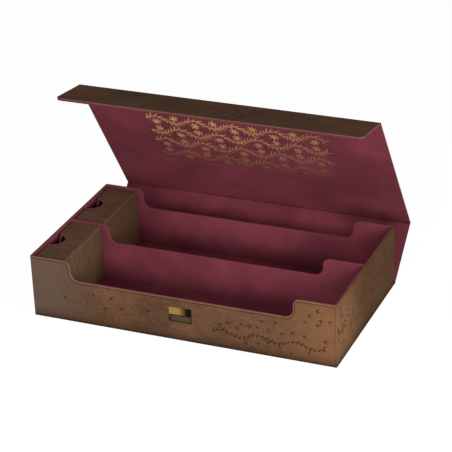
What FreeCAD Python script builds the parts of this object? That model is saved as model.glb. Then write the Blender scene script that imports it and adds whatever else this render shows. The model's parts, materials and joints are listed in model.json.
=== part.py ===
"""Trading card storage box: a leatherette card tray with a wrap-round cover.

The tray has two card lanes side by side, with a divider between them. Its front wall, divider and
rear wall have the same wide S-curved cut-out. A small lift-out case with a hinged lid stands at the
left end of each lane. The cover is one strip of panels, base, back, lid and front flap, which fold
along their leatherette creases. It stands open here, as a person would leave it.

Frame: X to the right along the box, Y towards the back, Z up. The origin is the centre of the
underside of the base. Sizes are in millimetres.
"""

import FreeCAD, Part
import math
import os

Vec = FreeCAD.Vector
ALONG = Vec(1, 0, 0)
BACK = Vec(0, 1, 0)
UP = Vec(0, 0, 1)

# The box: two lanes of double-sleeved cards, 94 by 69, stood on their long edges
LENGTH = 368.0
DEPTH = 201.4
HEIGHT = 76.4

# Laminate of the tray walls and cover panels: leatherette outside, grey board, lining inside
SKIN = 0.5
BOARD = 2.0
LINING = 0.5
PANEL = SKIN + BOARD + LINING
CORNER_R = 1.5
RIM_R = 0.8
EDGE_BEVEL = 0.5

# Where leatherette and lining meet: the one reaches this far over the long walls' rims and up the
# edges of the cover panels, and the lining is turned over the rest
RIM_SKIN = 1.8
EDGE_SKIN = 1.1

# Line pressed into the leatherette below the front wall's rim
CREASE_DOWN = 1.9
CREASE_W = 0.8
CREASE_DEPTH = 0.2

# Cut-out of the front wall, rear wall and divider
CUT_HALF = 134.0
CUT_LOW = 52.8
SHOULDER_R = 8.3
HOLLOW_R = 10.0
DIVIDER_CUT_HALF = 132.5
DIVIDER_CUT_LOW = 53.8
DIVIDER_TOP = 76.0

# Cover: directions of its panels in the YZ plane, in degrees from +Y towards +Z
BACK_ANGLE = 41.4
LID_ANGLE = 122.6
FLAP_ANGLE = 172.8
FLAP_REACH = 62.0
FLAP_CORNER_R = 8.0
COVER_GAP = 0.5
LID_GAP = 0.3
FOLD_CLEAR = 1.8
FOLD_R = 1.4
BASE_OVERHANG = 0.2

# Magnets that hold the flap shut, set into the boards
MAGNET_R = 6.0
MAGNET_T = 1.6
MAGNET_X = 110.0
MAGNET_Z = 34.0
MAGNET_FIT = 0.05

# Label window in the front wall: a bowed brass plate over a leather pad
LABEL_W = 27.2
LABEL_H = 17.8
LABEL_Z = 32.5
LABEL_DEPTH = 1.4
LABEL_FIT = 0.2
PLATE_T = 0.5
PLATE_H = 9.0
PLATE_BOW = 0.8
PAD_T = 0.5

# Accessory cases, one at the left end of each lane
CASE_LEFT = -178.2
CASE_RIGHT = -142.0
CASE_TOP = 74.1
CASE_BOARD = 1.5
CASE_LINING = 0.4
CASE_WALL = SKIN + CASE_BOARD + CASE_LINING
CASE_CLEAR = 0.5
CASE_CORNER_R = 1.2
SEAT_CLEAR = 0.1
CASE_FOLD_CLEAR = 0.3
THUMB_R = 13.0
THUMB_WALL_R = 11.0
THUMB_EASE = 3.0

# Heights and faces that follow from the sizes above
HALF_L = LENGTH / 2
HALF_D = DEPTH / 2
FLOOR_TOP = PANEL + BOARD + LINING
INNER_X = HALF_L - PANEL
INNER_Y = HALF_D - PANEL
CORE_X = HALF_L - SKIN - BOARD
CORE_Y = HALF_D - SKIN - BOARD
OVER = 1.0


def save(node, shape):
    """Write one sub-part to its own STEP file."""
    shape.exportStep(os.path.join("parts", node + ".step"))


def block(x0, x1, y0, y1, z0, z1):
    """Plain box between two corners."""
    return Part.makeBox(x1 - x0, y1 - y0, z1 - z0, Vec(x0, y0, z0))


def rounded_block(x0, x1, y0, y1, z0, z1, radius):
    """Box whose four upright edges are rounded."""
    box = block(x0, x1, y0, y1, z0, z1)
    upright = [e for e in box.Edges if abs(e.tangentAt(e.FirstParameter).z) > 0.99]
    return box.makeFillet(radius, upright)


def edges_where(shape, test):
    """Edges of a shape whose end points and middle all pass a test."""
    found = []
    for edge in shape.Edges:
        middle = edge.valueAt((edge.FirstParameter + edge.LastParameter) / 2)
        if all(test(p) for p in [v.Point for v in edge.Vertexes] + [middle]):
            found.append(edge)
    return found


def prism(edges, direction):
    """Solid swept in a straight line from a closed outline."""
    wire = Part.Wire(Part.__sortEdges__([e.toShape() for e in edges]))
    return Part.Face(wire).extrude(direction)


def cut_out(half, low, top, y0, y1, inset=0.0):
    """Prism that opens a wall between its two shoulders.

    inset sets the rim down into the wall, so that a board ends under its skin: the shoulder gets
    tighter and the hollow wider by as much.
    """
    side_x = half + inset
    floor = low - inset
    rim = top - inset
    shoulder = SHOULDER_R - inset
    hollow = HOLLOW_R + inset
    above = top + 5.0
    slant = 1 - math.sqrt(0.5)
    edges = []
    for side in (-1, 1):
        corner = Vec(side * (side_x + shoulder), y0, above)
        rim_end = Vec(side * (side_x + shoulder), y0, rim)
        crest = Vec(side * (side_x + shoulder * slant), y0, rim - shoulder * slant)
        side_top = Vec(side * side_x, y0, rim - shoulder)
        side_foot = Vec(side * side_x, y0, floor + hollow)
        dip = Vec(side * (side_x - hollow * slant), y0, floor + hollow * slant)
        floor_end = Vec(side * (side_x - hollow), y0, floor)
        edges.append(Part.LineSegment(corner, rim_end))
        edges.append(Part.Arc(rim_end, crest, side_top))
        edges.append(Part.LineSegment(side_top, side_foot))
        edges.append(Part.Arc(side_foot, dip, floor_end))
    for z, reach in ((floor, side_x - hollow), (above, side_x + shoulder)):
        edges.append(Part.LineSegment(Vec(-reach, y0, z), Vec(reach, y0, z)))
    return prism(edges, BACK * (y1 - y0))


def tray_layer(outer, inner, foot):
    """Ring of the four tray walls between two depths below their outer faces.

    The rim is set down by the outer depth, and the cut-outs follow it.
    """
    x, y = HALF_L - outer, HALF_D - outer
    ring = block(-x, x, -y, y, foot, HEIGHT - outer)
    if outer == 0:
        ring = rounded_block(-x, x, -y, y, foot, HEIGHT, CORNER_R)
    x, y = HALF_L - inner, HALF_D - inner
    ring = ring.cut(block(-x, x, -y, y, foot - OVER, HEIGHT + OVER))
    for y0 in (-HALF_D - OVER, INNER_Y - OVER):
        opening = cut_out(CUT_HALF, CUT_LOW, HEIGHT, y0, y0 + PANEL + 2 * OVER, outer)
        ring = ring.cut(opening)
    return ring


def rim_crease(y0, y1):
    """Prism along the line pressed a constant way below the front wall's rim."""
    x = HALF_L - CORNER_R
    over = []
    for inset in (CREASE_DOWN + CREASE_W, CREASE_DOWN):
        band = block(-x, x, y0, y1, HEIGHT - inset, HEIGHT + OVER)
        over.append(band.fuse(cut_out(CUT_HALF, CUT_LOW, HEIGHT, y0, y1, inset)))
    return over[0].cut(over[1])


def on_tray_rim(p):
    """True for a point on the outer edge of the tray's rim, cut-outs included."""
    on_long_side = abs(abs(p.y) - HALF_D) < 0.01 and p.z > CUT_LOW - 0.01
    in_opening = abs(p.x) < CUT_HALF + SHOULDER_R + 0.01
    at_top = p.z > HEIGHT - 0.01
    outside = abs(p.x) > HALF_L - CORNER_R or abs(p.y) > HALF_D - CORNER_R
    return (on_long_side and in_opening) or (at_top and outside and on_outline(p))


def on_outline(p):
    """True for a point on the tray's outline, seen from above."""
    dx = max(abs(p.x) - (HALF_L - CORNER_R), 0.0)
    dy = max(abs(p.y) - (HALF_D - CORNER_R), 0.0)
    return abs(math.hypot(dx, dy) - CORNER_R) < 0.01


def magnet_pair(y0, radius, depth):
    """Two discs set back from a face across Y."""
    return [Part.makeCylinder(radius, depth, Vec(x, y0, MAGNET_Z), BACK) for x in (-MAGNET_X, MAGNET_X)]


def make_tray():
    """Tray walls and floor: outer skin, boards and linings, with the label window and magnets."""
    walls = tray_layer(0.0, PANEL, PANEL)
    walls = walls.makeFillet(RIM_R, edges_where(walls, on_tray_rim))
    core = tray_layer(SKIN, SKIN + BOARD, PANEL)
    wrap = walls.cut(core)
    lined_x, lined_y = HALF_L - SKIN, HALF_D - RIM_SKIN
    lining = wrap.common(block(-lined_x, lined_x, -lined_y, lined_y, PANEL + BOARD, HEIGHT + OVER))
    window = block(-LABEL_W / 2, LABEL_W / 2, -HALF_D - OVER, LABEL_DEPTH - HALF_D,
                   LABEL_Z - LABEL_H / 2, LABEL_Z + LABEL_H / 2)
    foot = block(-CORE_X, CORE_X, -CORE_Y, CORE_Y, PANEL - OVER, PANEL + BOARD)
    skin = wrap.cut(lining).cut(foot).cut(window)
    skin = skin.cut(rim_crease(-HALF_D - OVER, CREASE_DEPTH - HALF_D))
    save("tray_outer_skin", skin)
    save("tray_wall_lining", lining)

    front = core.common(block(-HALF_L, HALF_L, -HALF_D, -CORE_Y, 0, HEIGHT)).cut(window)
    for pocket in magnet_pair(SKIN - HALF_D, MAGNET_R + MAGNET_FIT, MAGNET_T + MAGNET_FIT):
        front = front.cut(pocket)
    save("tray_front_board", front)
    save("front_wall_magnets", Part.makeCompound(magnet_pair(SKIN - HALF_D, MAGNET_R, MAGNET_T)))
    save("tray_rear_board", core.common(block(-HALF_L, HALF_L, CORE_Y, HALF_D, 0, HEIGHT)))
    save("tray_left_board", core.common(block(-HALF_L, 0, -CORE_Y, CORE_Y, 0, HEIGHT)))
    save("tray_right_board", core.common(block(0, HALF_L, -CORE_Y, CORE_Y, 0, HEIGHT)))
    save("tray_floor_board", block(-CORE_X, CORE_X, -CORE_Y, CORE_Y, PANEL, PANEL + BOARD))
    save("tray_floor_lining", block(-INNER_X, INNER_X, -INNER_Y, INNER_Y, PANEL + BOARD, FLOOR_TOP))


def make_label():
    """Brass plate and leather pad in the front wall's window.

    The plate is flush at its left end and bows back into the window at its right end.
    """
    left, right = LABEL_FIT - LABEL_W / 2, LABEL_W / 2 - LABEL_FIT
    floor = LABEL_DEPTH - HALF_D
    top = LABEL_Z + LABEL_H / 2 - LABEL_FIT
    near = floor - PAD_T - PLATE_BOW
    far = floor - PLATE_T

    def bow(z, set_back):
        """Front or back line of the plate, from left to right."""
        ends = Vec(left, near + set_back, z), Vec(right, far + set_back, z)
        middle = Vec((left + right) / 2, near + set_back + (far - near) * 0.25, z)
        return Part.Arc(ends[0], middle, ends[1]), ends

    foot = top - PLATE_H
    front, front_ends = bow(foot, 0.0)
    rear, rear_ends = bow(foot, PLATE_T)
    sides = [Part.LineSegment(a, b) for a, b in zip(front_ends, rear_ends)]
    save("label_plate", prism([front, rear] + sides, UP * PLATE_H))
    pad_foot = LABEL_Z - LABEL_H / 2 + LABEL_FIT
    save("label_pad", block(left, right, floor - PAD_T, floor, pad_foot, foot - LABEL_FIT))


def on_divider_rim(p):
    """True for a point on either edge of the divider's rim, cut-out included."""
    on_face = abs(abs(p.y) - PANEL / 2) < 0.01
    in_opening = abs(p.x) < DIVIDER_CUT_HALF + SHOULDER_R + 0.01 and p.z > DIVIDER_CUT_LOW - 0.01
    return on_face and (in_opening or p.z > DIVIDER_TOP - 0.01)


def make_divider():
    """Middle wall between the lanes: a board with the lining over both faces and its rim."""
    half = PANEL / 2
    core_half = half - LINING
    layers = []
    for y, inset in ((half, 0.0), (core_half, LINING)):
        wall = block(-INNER_X, INNER_X, -y, y, FLOOR_TOP, DIVIDER_TOP - inset)
        opening = cut_out(DIVIDER_CUT_HALF, DIVIDER_CUT_LOW, DIVIDER_TOP, -half - OVER, half + OVER, inset)
        layers.append(wall.cut(opening))
    whole, core = layers
    whole = whole.makeChamfer(EDGE_BEVEL, edges_where(whole, on_divider_rim))
    save("divider_board", core)
    save("divider_lining", whole.cut(core))


def make_base():
    """Base panel of the cover, glued under the tray."""
    y1 = HALF_D + BASE_OVERHANG
    whole = rounded_block(-HALF_L, HALF_L, -HALF_D, y1, 0, PANEL, CORNER_R)
    whole = whole.makeChamfer(EDGE_BEVEL, edges_where(whole, lambda p: p.z < 0.01))
    core = block(SKIN - HALF_L, HALF_L - SKIN, SKIN - HALF_D, y1 - SKIN, SKIN, PANEL)
    save("cover_base_board", core)
    save("cover_base_skin", whole.cut(core))


def plate(near, far, low, high, inset, corner_r):
    """Flat layer of a cover panel, lying in XY, with its two far corners rounded."""
    layer = block(inset - HALF_L, HALF_L - inset, near + inset, far - inset, low, high)
    corners = edges_where(layer, lambda p: p.y > far - inset - 0.01 and abs(p.x) > HALF_L - inset - 0.01)
    return layer.makeFillet(corner_r - inset, corners)


def place(shape, axis, angle):
    """Turn a panel about its hinge crease and move it there."""
    shape = shape.copy()
    shape.rotate(Vec(0, 0, 0), ALONG, angle)
    shape.translate(Vec(0, axis[0], axis[1]))
    return shape


def make_panel(name, axis, angle, length, end_clear, corner_r, magnets=None):
    """Cover panel from its crease outwards: skin under the board, lining over it, both round its edges.

    The panel lies on its mid plane, with its inner face towards +Z before it is turned.
    """
    half = PANEL / 2
    near, far = FOLD_CLEAR, length - end_clear
    whole = plate(near, far, -half, half, 0.0, corner_r)
    whole = whole.makeChamfer(EDGE_BEVEL, edges_where(whole, lambda p: abs(abs(p.z) - half) < 0.01))
    core = plate(near, far, SKIN - half, half - LINING, SKIN, corner_r)
    wrap = whole.cut(core)
    outer_side = block(-LENGTH, LENGTH, near - OVER, far + OVER, -PANEL, EDGE_SKIN - half)
    skin = wrap.common(outer_side)
    lining = wrap.cut(outer_side)
    if magnets:
        inner_face = half - LINING
        discs = [Part.makeCylinder(MAGNET_R, MAGNET_T, Vec(x, magnets, inner_face - MAGNET_T), UP)
                 for x in (-MAGNET_X, MAGNET_X)]
        save(name + "_magnets", place(Part.makeCompound(discs), axis, angle))
        for x in (-MAGNET_X, MAGNET_X):
            depth = MAGNET_T + MAGNET_FIT
            centre = Vec(x, magnets, inner_face - depth)
            core = core.cut(Part.makeCylinder(MAGNET_R + MAGNET_FIT, depth, centre, UP))
    save(name + "_board", place(core, axis, angle))
    save(name + "_skin", place(skin, axis, angle))
    save(name + "_lining", place(lining, axis, angle))


def make_fold(name, axis):
    """Rounded leatherette crease on a hinge line of the cover."""
    start = Vec(SKIN - HALF_L, axis[0], axis[1])
    save(name, Part.makeCylinder(FOLD_R, LENGTH - 2 * SKIN, start, ALONG))


def step_from(axis, angle, length):
    """Next hinge line along the cover, a length away at an angle."""
    a = math.radians(angle)
    return axis[0] + length * math.cos(a), axis[1] + length * math.sin(a)


def make_cover():
    """Back, lid and flap, each hinged on the one before, at the angles of the open box."""
    back_length = HEIGHT + LID_GAP
    lid_length = DEPTH + 2 * COVER_GAP + PANEL
    back_axis = (HALF_D + COVER_GAP + PANEL / 2, PANEL / 2)
    lid_axis = step_from(back_axis, BACK_ANGLE, back_length)
    flap_axis = step_from(lid_axis, LID_ANGLE, lid_length)
    print("hinge lines (y, z):", back_axis, lid_axis, flap_axis)
    square = CORNER_R
    make_panel("back", back_axis, BACK_ANGLE, back_length, FOLD_CLEAR, square)
    make_panel("lid", lid_axis, LID_ANGLE, lid_length, FOLD_CLEAR, square)
    closed_axis_z = PANEL / 2 + back_length
    make_panel("flap", flap_axis, FLAP_ANGLE, FLAP_REACH, 0.0, FLAP_CORNER_R, closed_axis_z - MAGNET_Z)
    make_fold("base_fold", back_axis)
    make_fold("back_fold", lid_axis)
    make_fold("flap_fold", flap_axis)


def thumb_cut(radius, ease, across, into, corner, direction):
    """Half-moon cut at an edge, with its two mouth corners eased.

    across runs along the edge, into points into the piece, corner is the middle of the mouth.
    """
    reach = math.sqrt((radius + ease) ** 2 - ease ** 2)

    def at(u, v):
        return corner + across * u + into * v

    edges = []
    touch = radius / (radius + ease)
    for side in (-1, 1):
        mouth = at(side * reach, 0)
        centre = Vec(side * reach, ease, 0)
        to_edge = Vec(0, -1, 0)
        to_middle = (centre * -1).normalize()
        half_way = (to_edge + to_middle).normalize() * ease + centre
        end = centre * touch
        edges.append(Part.Arc(mouth, at(half_way.x, half_way.y), at(end.x, end.y)))
        edges.append(Part.LineSegment(mouth, at(side * reach, -2 * OVER)))
    end = Vec(reach, ease, 0) * touch
    edges.append(Part.Arc(at(-end.x, end.y), at(0, radius), at(end.x, end.y)))
    edges.append(Part.LineSegment(at(-reach, -2 * OVER), at(reach, -2 * OVER)))
    return prism(edges, direction)


def make_case(name, y0, y1):
    """Lift-out accessory case: a lined tub, and a lid hinged along its top right edge."""
    middle_y = (y0 + y1) / 2
    foot = FLOOR_TOP + SEAT_CLEAR
    lid_foot = CASE_TOP - CASE_WALL
    tub_top = lid_foot - SEAT_CLEAR
    x0, x1 = CASE_LEFT, CASE_RIGHT

    def inset_block(depth, floor, top):
        """Block at a depth inside the case's upright faces."""
        return block(x0 + depth, x1 - depth, y0 + depth, y1 - depth, floor, top)

    def wall_notch(radius):
        """Half-moon in the top edge of the left wall."""
        corner = Vec(x0 - OVER, middle_y, tub_top)
        return thumb_cut(radius, THUMB_EASE, BACK, UP * -1, corner, ALONG * (CASE_WALL + 2 * OVER))

    whole = rounded_block(x0, x1, y0, y1, foot, tub_top, CASE_CORNER_R)
    cavity = inset_block(CASE_WALL, foot + CASE_WALL, tub_top + OVER)
    core = inset_block(SKIN, foot + SKIN, tub_top - SKIN)
    core_hollow = inset_block(SKIN + CASE_BOARD, foot + SKIN + CASE_BOARD, tub_top + OVER)
    notch = wall_notch(THUMB_WALL_R)
    board_notch = wall_notch(THUMB_WALL_R + SKIN)
    board = core.cut(core_hollow).cut(board_notch)
    wrap = whole.cut(cavity).cut(notch).cut(board)
    lined = inset_block(SKIN, foot + SKIN, tub_top + OVER)
    save(name + "_board", board)
    save(name + "_lining", wrap.common(lined))
    save(name + "_skin", wrap.cut(lined))

    half = CASE_WALL / 2
    fold_x, fold_z = x1 - half, lid_foot + half
    rod = Part.makeCylinder(half, y1 - y0, Vec(fold_x, y0, fold_z), BACK)
    web = block(x1 - CASE_WALL, x1, y0, y1, tub_top, fold_z)
    save(name + "_fold", rod.fuse(web).removeSplitter())

    end_x = fold_x - half - CASE_FOLD_CLEAR

    def lid_layer(inset, low, high):
        """Layer of the lid with its half-moon at the left edge."""
        layer = block(x0 + inset, end_x - inset, y0 + inset, y1 - inset, low, high)
        corner = Vec(x0, middle_y, low - OVER)
        moon = thumb_cut(THUMB_R + inset, THUMB_EASE, BACK, ALONG, corner, UP * (high - low + 2 * OVER))
        return layer.cut(moon)

    lid = lid_layer(0.0, lid_foot, CASE_TOP)
    lid = lid.makeChamfer(EDGE_BEVEL, edges_where(lid, lambda p: p.z > CASE_TOP - 0.01))
    lid_board = lid_layer(SKIN, lid_foot + CASE_LINING, CASE_TOP - SKIN)
    lid_lining = lid_layer(SKIN, lid_foot, lid_foot + CASE_LINING)
    save(name + "_lid_board", lid_board)
    save(name + "_lid_lining", lid_lining)
    save(name + "_lid_skin", lid.cut(lid_board).cut(lid_lining))


def main():
    """Build every piece of the box and write it to parts."""
    os.makedirs("parts", exist_ok=True)
    make_base()
    make_tray()
    make_label()
    make_divider()
    make_cover()
    lane_near = PANEL / 2 + CASE_CLEAR
    lane_far = INNER_Y - CASE_CLEAR
    make_case("front_case", -lane_far, -lane_near)
    make_case("rear_case", lane_near, lane_far)


main()
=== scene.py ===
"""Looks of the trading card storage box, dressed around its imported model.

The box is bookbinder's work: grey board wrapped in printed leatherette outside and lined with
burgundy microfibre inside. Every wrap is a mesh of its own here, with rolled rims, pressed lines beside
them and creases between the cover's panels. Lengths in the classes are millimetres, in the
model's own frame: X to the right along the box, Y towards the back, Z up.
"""

import json
import logging
import math
from dataclasses import dataclass, field
from enum import Enum
from typing import Callable, Sequence

import bmesh
import bpy
from mathutils import Matrix, Vector
from mathutils.geometry import tessellate_polygon


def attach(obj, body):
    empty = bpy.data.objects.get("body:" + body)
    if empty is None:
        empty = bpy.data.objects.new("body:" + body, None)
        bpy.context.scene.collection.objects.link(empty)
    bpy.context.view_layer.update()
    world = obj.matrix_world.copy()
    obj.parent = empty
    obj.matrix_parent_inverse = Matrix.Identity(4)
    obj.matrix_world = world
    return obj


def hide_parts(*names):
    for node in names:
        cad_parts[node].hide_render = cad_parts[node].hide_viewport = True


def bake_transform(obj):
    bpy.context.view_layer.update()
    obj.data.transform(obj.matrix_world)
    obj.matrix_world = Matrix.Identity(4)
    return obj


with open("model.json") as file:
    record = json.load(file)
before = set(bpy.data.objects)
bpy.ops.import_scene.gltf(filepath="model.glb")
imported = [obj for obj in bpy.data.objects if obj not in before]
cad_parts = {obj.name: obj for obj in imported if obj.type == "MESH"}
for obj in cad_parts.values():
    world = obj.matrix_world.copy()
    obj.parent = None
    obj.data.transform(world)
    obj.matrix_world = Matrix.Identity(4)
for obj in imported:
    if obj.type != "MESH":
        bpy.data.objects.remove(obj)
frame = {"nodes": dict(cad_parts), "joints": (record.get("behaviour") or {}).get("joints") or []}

LOG = logging.getLogger("card_box")
MM = 0.001

# Driving sizes of the box, as the model has them
HALF_L = 184.0
HALF_D = 100.7
HEIGHT = 76.4
PANEL = 3.0
LAYER = 0.5
CORNER_R = 1.5
PRINT_ROOM = 0.06
BASE_TOP = 3.0
FLOOR_TOP = 5.5
INNER_X = HALF_L - PANEL
INNER_Y = HALF_D - PANEL
FLAP_ANGLE = 172.8
FLAP_REACH = 62.0
FLAP_CORNER_R = 8.0
FOLD_CLEAR = 1.8
ARC_STEPS = 8


class Side(Enum):
    """Side of a ring of walls that a rim point belongs to."""

    FRONT = 0
    RIGHT = 1
    REAR = 2
    LEFT = 3
    CORNER = 4


class Slot(Enum):
    """Material slots of the record."""

    LEATHERETTE = "leatherette"
    CASE = "case_leatherette"
    LINING = "lining"
    BOARD = "grey_board"
    BRASS = "brass_plate"
    STEEL = "magnet_steel"


def linear(code: str) -> tuple[float, float, float, float]:
    """Turn an sRGB hex colour into the linear values that a shader socket takes.

    Args:
        code: Colour as "#rrggbb".

    Returns:
        Linear red, green and blue, and an alpha of 1.
    """
    parts = [int(code[k : k + 2], 16) / 255 for k in (1, 3, 5)]
    red, green, blue = [c / 12.92 if c <= 0.04045 else ((c + 0.055) / 1.055) ** 2.4 for c in parts]
    return red, green, blue, 1.0


def add_node(tree: bpy.types.NodeTree, kind: str, inputs: dict | None = None, **settings) -> bpy.types.Node:
    """Add a node with its settings, values and links.

    Args:
        tree: Node tree that gets the node.
        kind: Type name of the node.
        inputs: Value, or output socket to link, for each input by name or number.
        **settings: Properties of the node.

    Returns:
        The new node.
    """
    made = tree.nodes.new(kind)
    for name, value in settings.items():
        setattr(made, name, value)
    for key, value in (inputs or {}).items():
        if isinstance(value, bpy.types.NodeSocket):
            tree.links.new(value, made.inputs[key])
        else:
            made.inputs[key].default_value = value
    return made


# Finishes


@dataclass(frozen=True)
class Finish:
    """Surface finish that dresses pieces with one procedural material.

    Attributes:
        name: Name of the material.
    """

    name: str

    def start(self) -> tuple[bpy.types.NodeTree, bpy.types.NodeSocket]:
        """Make the empty material.

        Returns:
            Its node tree, and the object coordinates in metres.
        """
        made = bpy.data.materials.new(self.name)
        made.use_nodes = True
        tree = made.node_tree
        tree.nodes.clear()
        return tree, add_node(tree, "ShaderNodeTexCoord").outputs["Object"]

    def close(self, tree: bpy.types.NodeTree, bump: bpy.types.NodeSocket, depth_mm: float,
              inputs: dict) -> bpy.types.Material:
        """Close the material with its bump and shader.

        Args:
            tree: Node tree of the material.
            bump: Height, from 0 to 1.
            depth_mm: Depth of the full height.
            inputs: Inputs of the shader.

        Returns:
            The finished material.
        """
        normal = add_node(tree, "ShaderNodeBump", {"Height": bump, "Strength": 1.0, "Distance": depth_mm * MM})
        shader = add_node(tree, "ShaderNodeBsdfPrincipled", {"Normal": normal.outputs["Normal"], **inputs})
        add_node(tree, "ShaderNodeOutputMaterial", {"Surface": shader.outputs[0]})
        return bpy.data.materials[self.name]

    def make(self) -> bpy.types.Material:
        """Make the material; each finish has its own way."""
        raise NotImplementedError

    def material(self) -> bpy.types.Material:
        """Return the material, made the first time it is asked for."""
        return bpy.data.materials.get(self.name) or self.make()


@dataclass(frozen=True)
class Leatherette(Finish):
    """Polyurethane leatherette, embossed with a fine hide grain and printed with a worn-hide shade.

    To the eye it is a satin brown hide, clouded in broad patches, streaked along each face and
    rubbed paler where it is pulled over an edge, where a painted highlight lies too. Painted shade
    darkens its pressed lines, the foot of the walls and the back of the end faces.

    Attributes:
        light: Colour of the pale clouds.
        dark: Colour of the dark clouds.
        cool: Greyer brown that the left of the box fades to.
        warm: Orange brown beside the front right corner.
        painted_rear_shade: Darker brown that the right face, and the left one too, fades to towards the back: painted
            shade of the light falling off.
        rub_and_highlight: Colour of a rubbed edge, which is also the painted highlight along it.
        cloud_mm: Size of the clouds.
        fleck_mm: Size of the fine mottling.
        streak_mm: Width of the streaks, which are nine times as long.
        grain_mm: Width of a grain cell, drawn twice as coarse as the real emboss so that it shows.
        painted_foot_shade: How far painted shade darkens the leather towards the foot of the walls.
        roughness: Mean roughness.
    """

    light: str = "#855f45"
    dark: str = "#503a2b"
    cool: str = "#776256"
    warm: str = "#8f6444"
    painted_rear_shade: str = "#4c331f"
    rub_and_highlight: str = "#8f6b5e"
    cloud_mm: float = 60.0
    fleck_mm: float = 5.0
    streak_mm: float = 1.5
    grain_mm: float = 1.1
    painted_foot_shade: float = 0.8
    roughness: float = 0.72

    def _blend(self, tree: bpy.types.NodeTree, share: bpy.types.NodeSocket, under: bpy.types.NodeSocket,
               over: str) -> bpy.types.NodeSocket:
        """Lay a share of one colour over another."""
        return add_node(tree, "ShaderNodeMix", {0: share, 6: under, 7: linear(over)},
                        data_type="RGBA").outputs[2]

    def _streaks(self, tree: bpy.types.NodeTree, here: bpy.types.NodeSocket,
                 sideways: bpy.types.NodeSocket) -> bpy.types.NodeSocket:
        """Streaks that lie along the long faces and stand upright on the end faces.

        Args:
            tree: Node tree of the material.
            here: Object coordinates.
            sideways: 1 on a face that looks along X, 0 on the others.

        Returns:
            Strength of the streaks, from 0 to 1.
        """
        found = []
        for scale in ((1 / 9, 1.0, 1.0), (1.0, 1.0, 1 / 9)):
            drawn = add_node(tree, "ShaderNodeMapping", {"Vector": here, "Scale": scale}).outputs[0]
            found.append(add_node(tree, "ShaderNodeTexNoise", {
                "Vector": drawn, "Scale": 1 / (self.streak_mm * MM), "Detail": 3.0,
                "Roughness": 0.6}).outputs["Fac"])
        return add_node(tree, "ShaderNodeMix", {0: sideways, 2: found[0], 3: found[1]}).outputs[0]

    def make(self) -> bpy.types.Material:
        """Make the clouded, streaked and rubbed leatherette, with its painted highlight and shade."""
        tree, here = self.start()
        normal = add_node(tree, "ShaderNodeTexCoord").outputs["Normal"]
        facing = add_node(tree, "ShaderNodeSeparateXYZ", {0: normal}).outputs
        sideways = add_node(tree, "ShaderNodeMath", {0: facing[0]}, operation="ABSOLUTE").outputs[0]
        forwards = add_node(tree, "ShaderNodeMath", {0: facing[1], 1: -1.0}, operation="MULTIPLY",
                            use_clamp=True).outputs[0]
        cloud = add_node(tree, "ShaderNodeTexNoise", {
            "Vector": here, "Scale": 1 / (self.cloud_mm * MM), "Detail": 4.0, "Roughness": 0.6}).outputs["Fac"]
        fleck = add_node(tree, "ShaderNodeTexNoise", {
            "Vector": here, "Scale": 1 / (self.fleck_mm * MM), "Detail": 5.0, "Roughness": 0.68}).outputs["Fac"]
        streak = self._streaks(tree, here, sideways)
        grain = add_node(tree, "ShaderNodeTexVoronoi", {
            "Vector": here, "Scale": 1 / (self.grain_mm * MM), "Randomness": 1.0},
            feature="SMOOTH_F1").outputs["Distance"]

        tone = add_node(tree, "ShaderNodeMath", {0: cloud, 1: 1.5, 2: fleck}, operation="MULTIPLY_ADD").outputs[0]
        tone = add_node(tree, "ShaderNodeMath", {0: streak, 1: 1.1, 2: tone}, operation="MULTIPLY_ADD").outputs[0]
        tone = add_node(tree, "ShaderNodeMapRange", {"Value": tone, "From Min": 1.3, "From Max": 2.33}).outputs[0]
        colour = add_node(tree, "ShaderNodeMix", {
            0: tone, 6: linear(self.dark), 7: linear(self.light)}, data_type="RGBA").outputs[2]

        place = add_node(tree, "ShaderNodeSeparateXYZ", {0: here}).outputs
        across = add_node(tree, "ShaderNodeMath", {0: cloud, 1: 0.12, 2: place[0]},
                          operation="MULTIPLY_ADD").outputs[0]
        coolness = add_node(tree, "ShaderNodeMapRange", {
            "Value": across, "From Min": -0.04, "From Max": -0.11, "To Max": 0.75}).outputs[0]
        coolness = add_node(tree, "ShaderNodeMath", {0: coolness, 1: forwards}, operation="MULTIPLY").outputs[0]
        colour = self._blend(tree, coolness, colour, self.cool)
        corner = add_node(tree, "ShaderNodeVectorMath", {
            0: here, 1: (HALF_L * MM, -HALF_D * MM, 0.04)}, operation="DISTANCE").outputs["Value"]
        warmth = add_node(tree, "ShaderNodeMapRange", {
            "Value": corner, "From Min": 0.075, "From Max": 0.015, "To Max": 0.55}).outputs[0]
        colour = self._blend(tree, warmth, colour, self.warm)
        # Painted shade: the end faces darken towards the back, as the light falls off there.
        back = add_node(tree, "ShaderNodeMapRange", {
            "Value": place[1], "From Min": -0.07, "From Max": 0.0, "To Max": 0.75},
            interpolation_type="SMOOTHSTEP").outputs[0]
        painted_rear_shade = add_node(tree, "ShaderNodeMath", {0: back, 1: sideways}, operation="MULTIPLY").outputs[0]
        colour = self._blend(tree, painted_rear_shade, colour, self.painted_rear_shade)
        # Painted shade: the leather darkens towards the foot of the walls, as the shade near the floor.
        near_foot = add_node(tree, "ShaderNodeMapRange", {
            "Value": place[2], "From Min": 0.022, "From Max": 0.0}).outputs[0]
        shade = add_node(tree, "ShaderNodeMath", {0: near_foot, 1: 2.6}, operation="POWER").outputs[0]
        shade = add_node(tree, "ShaderNodeMath", {0: shade, 1: self.painted_foot_shade}, operation="MULTIPLY").outputs[0]
        colour = self._blend(tree, shade, colour, "#241a12")

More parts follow.
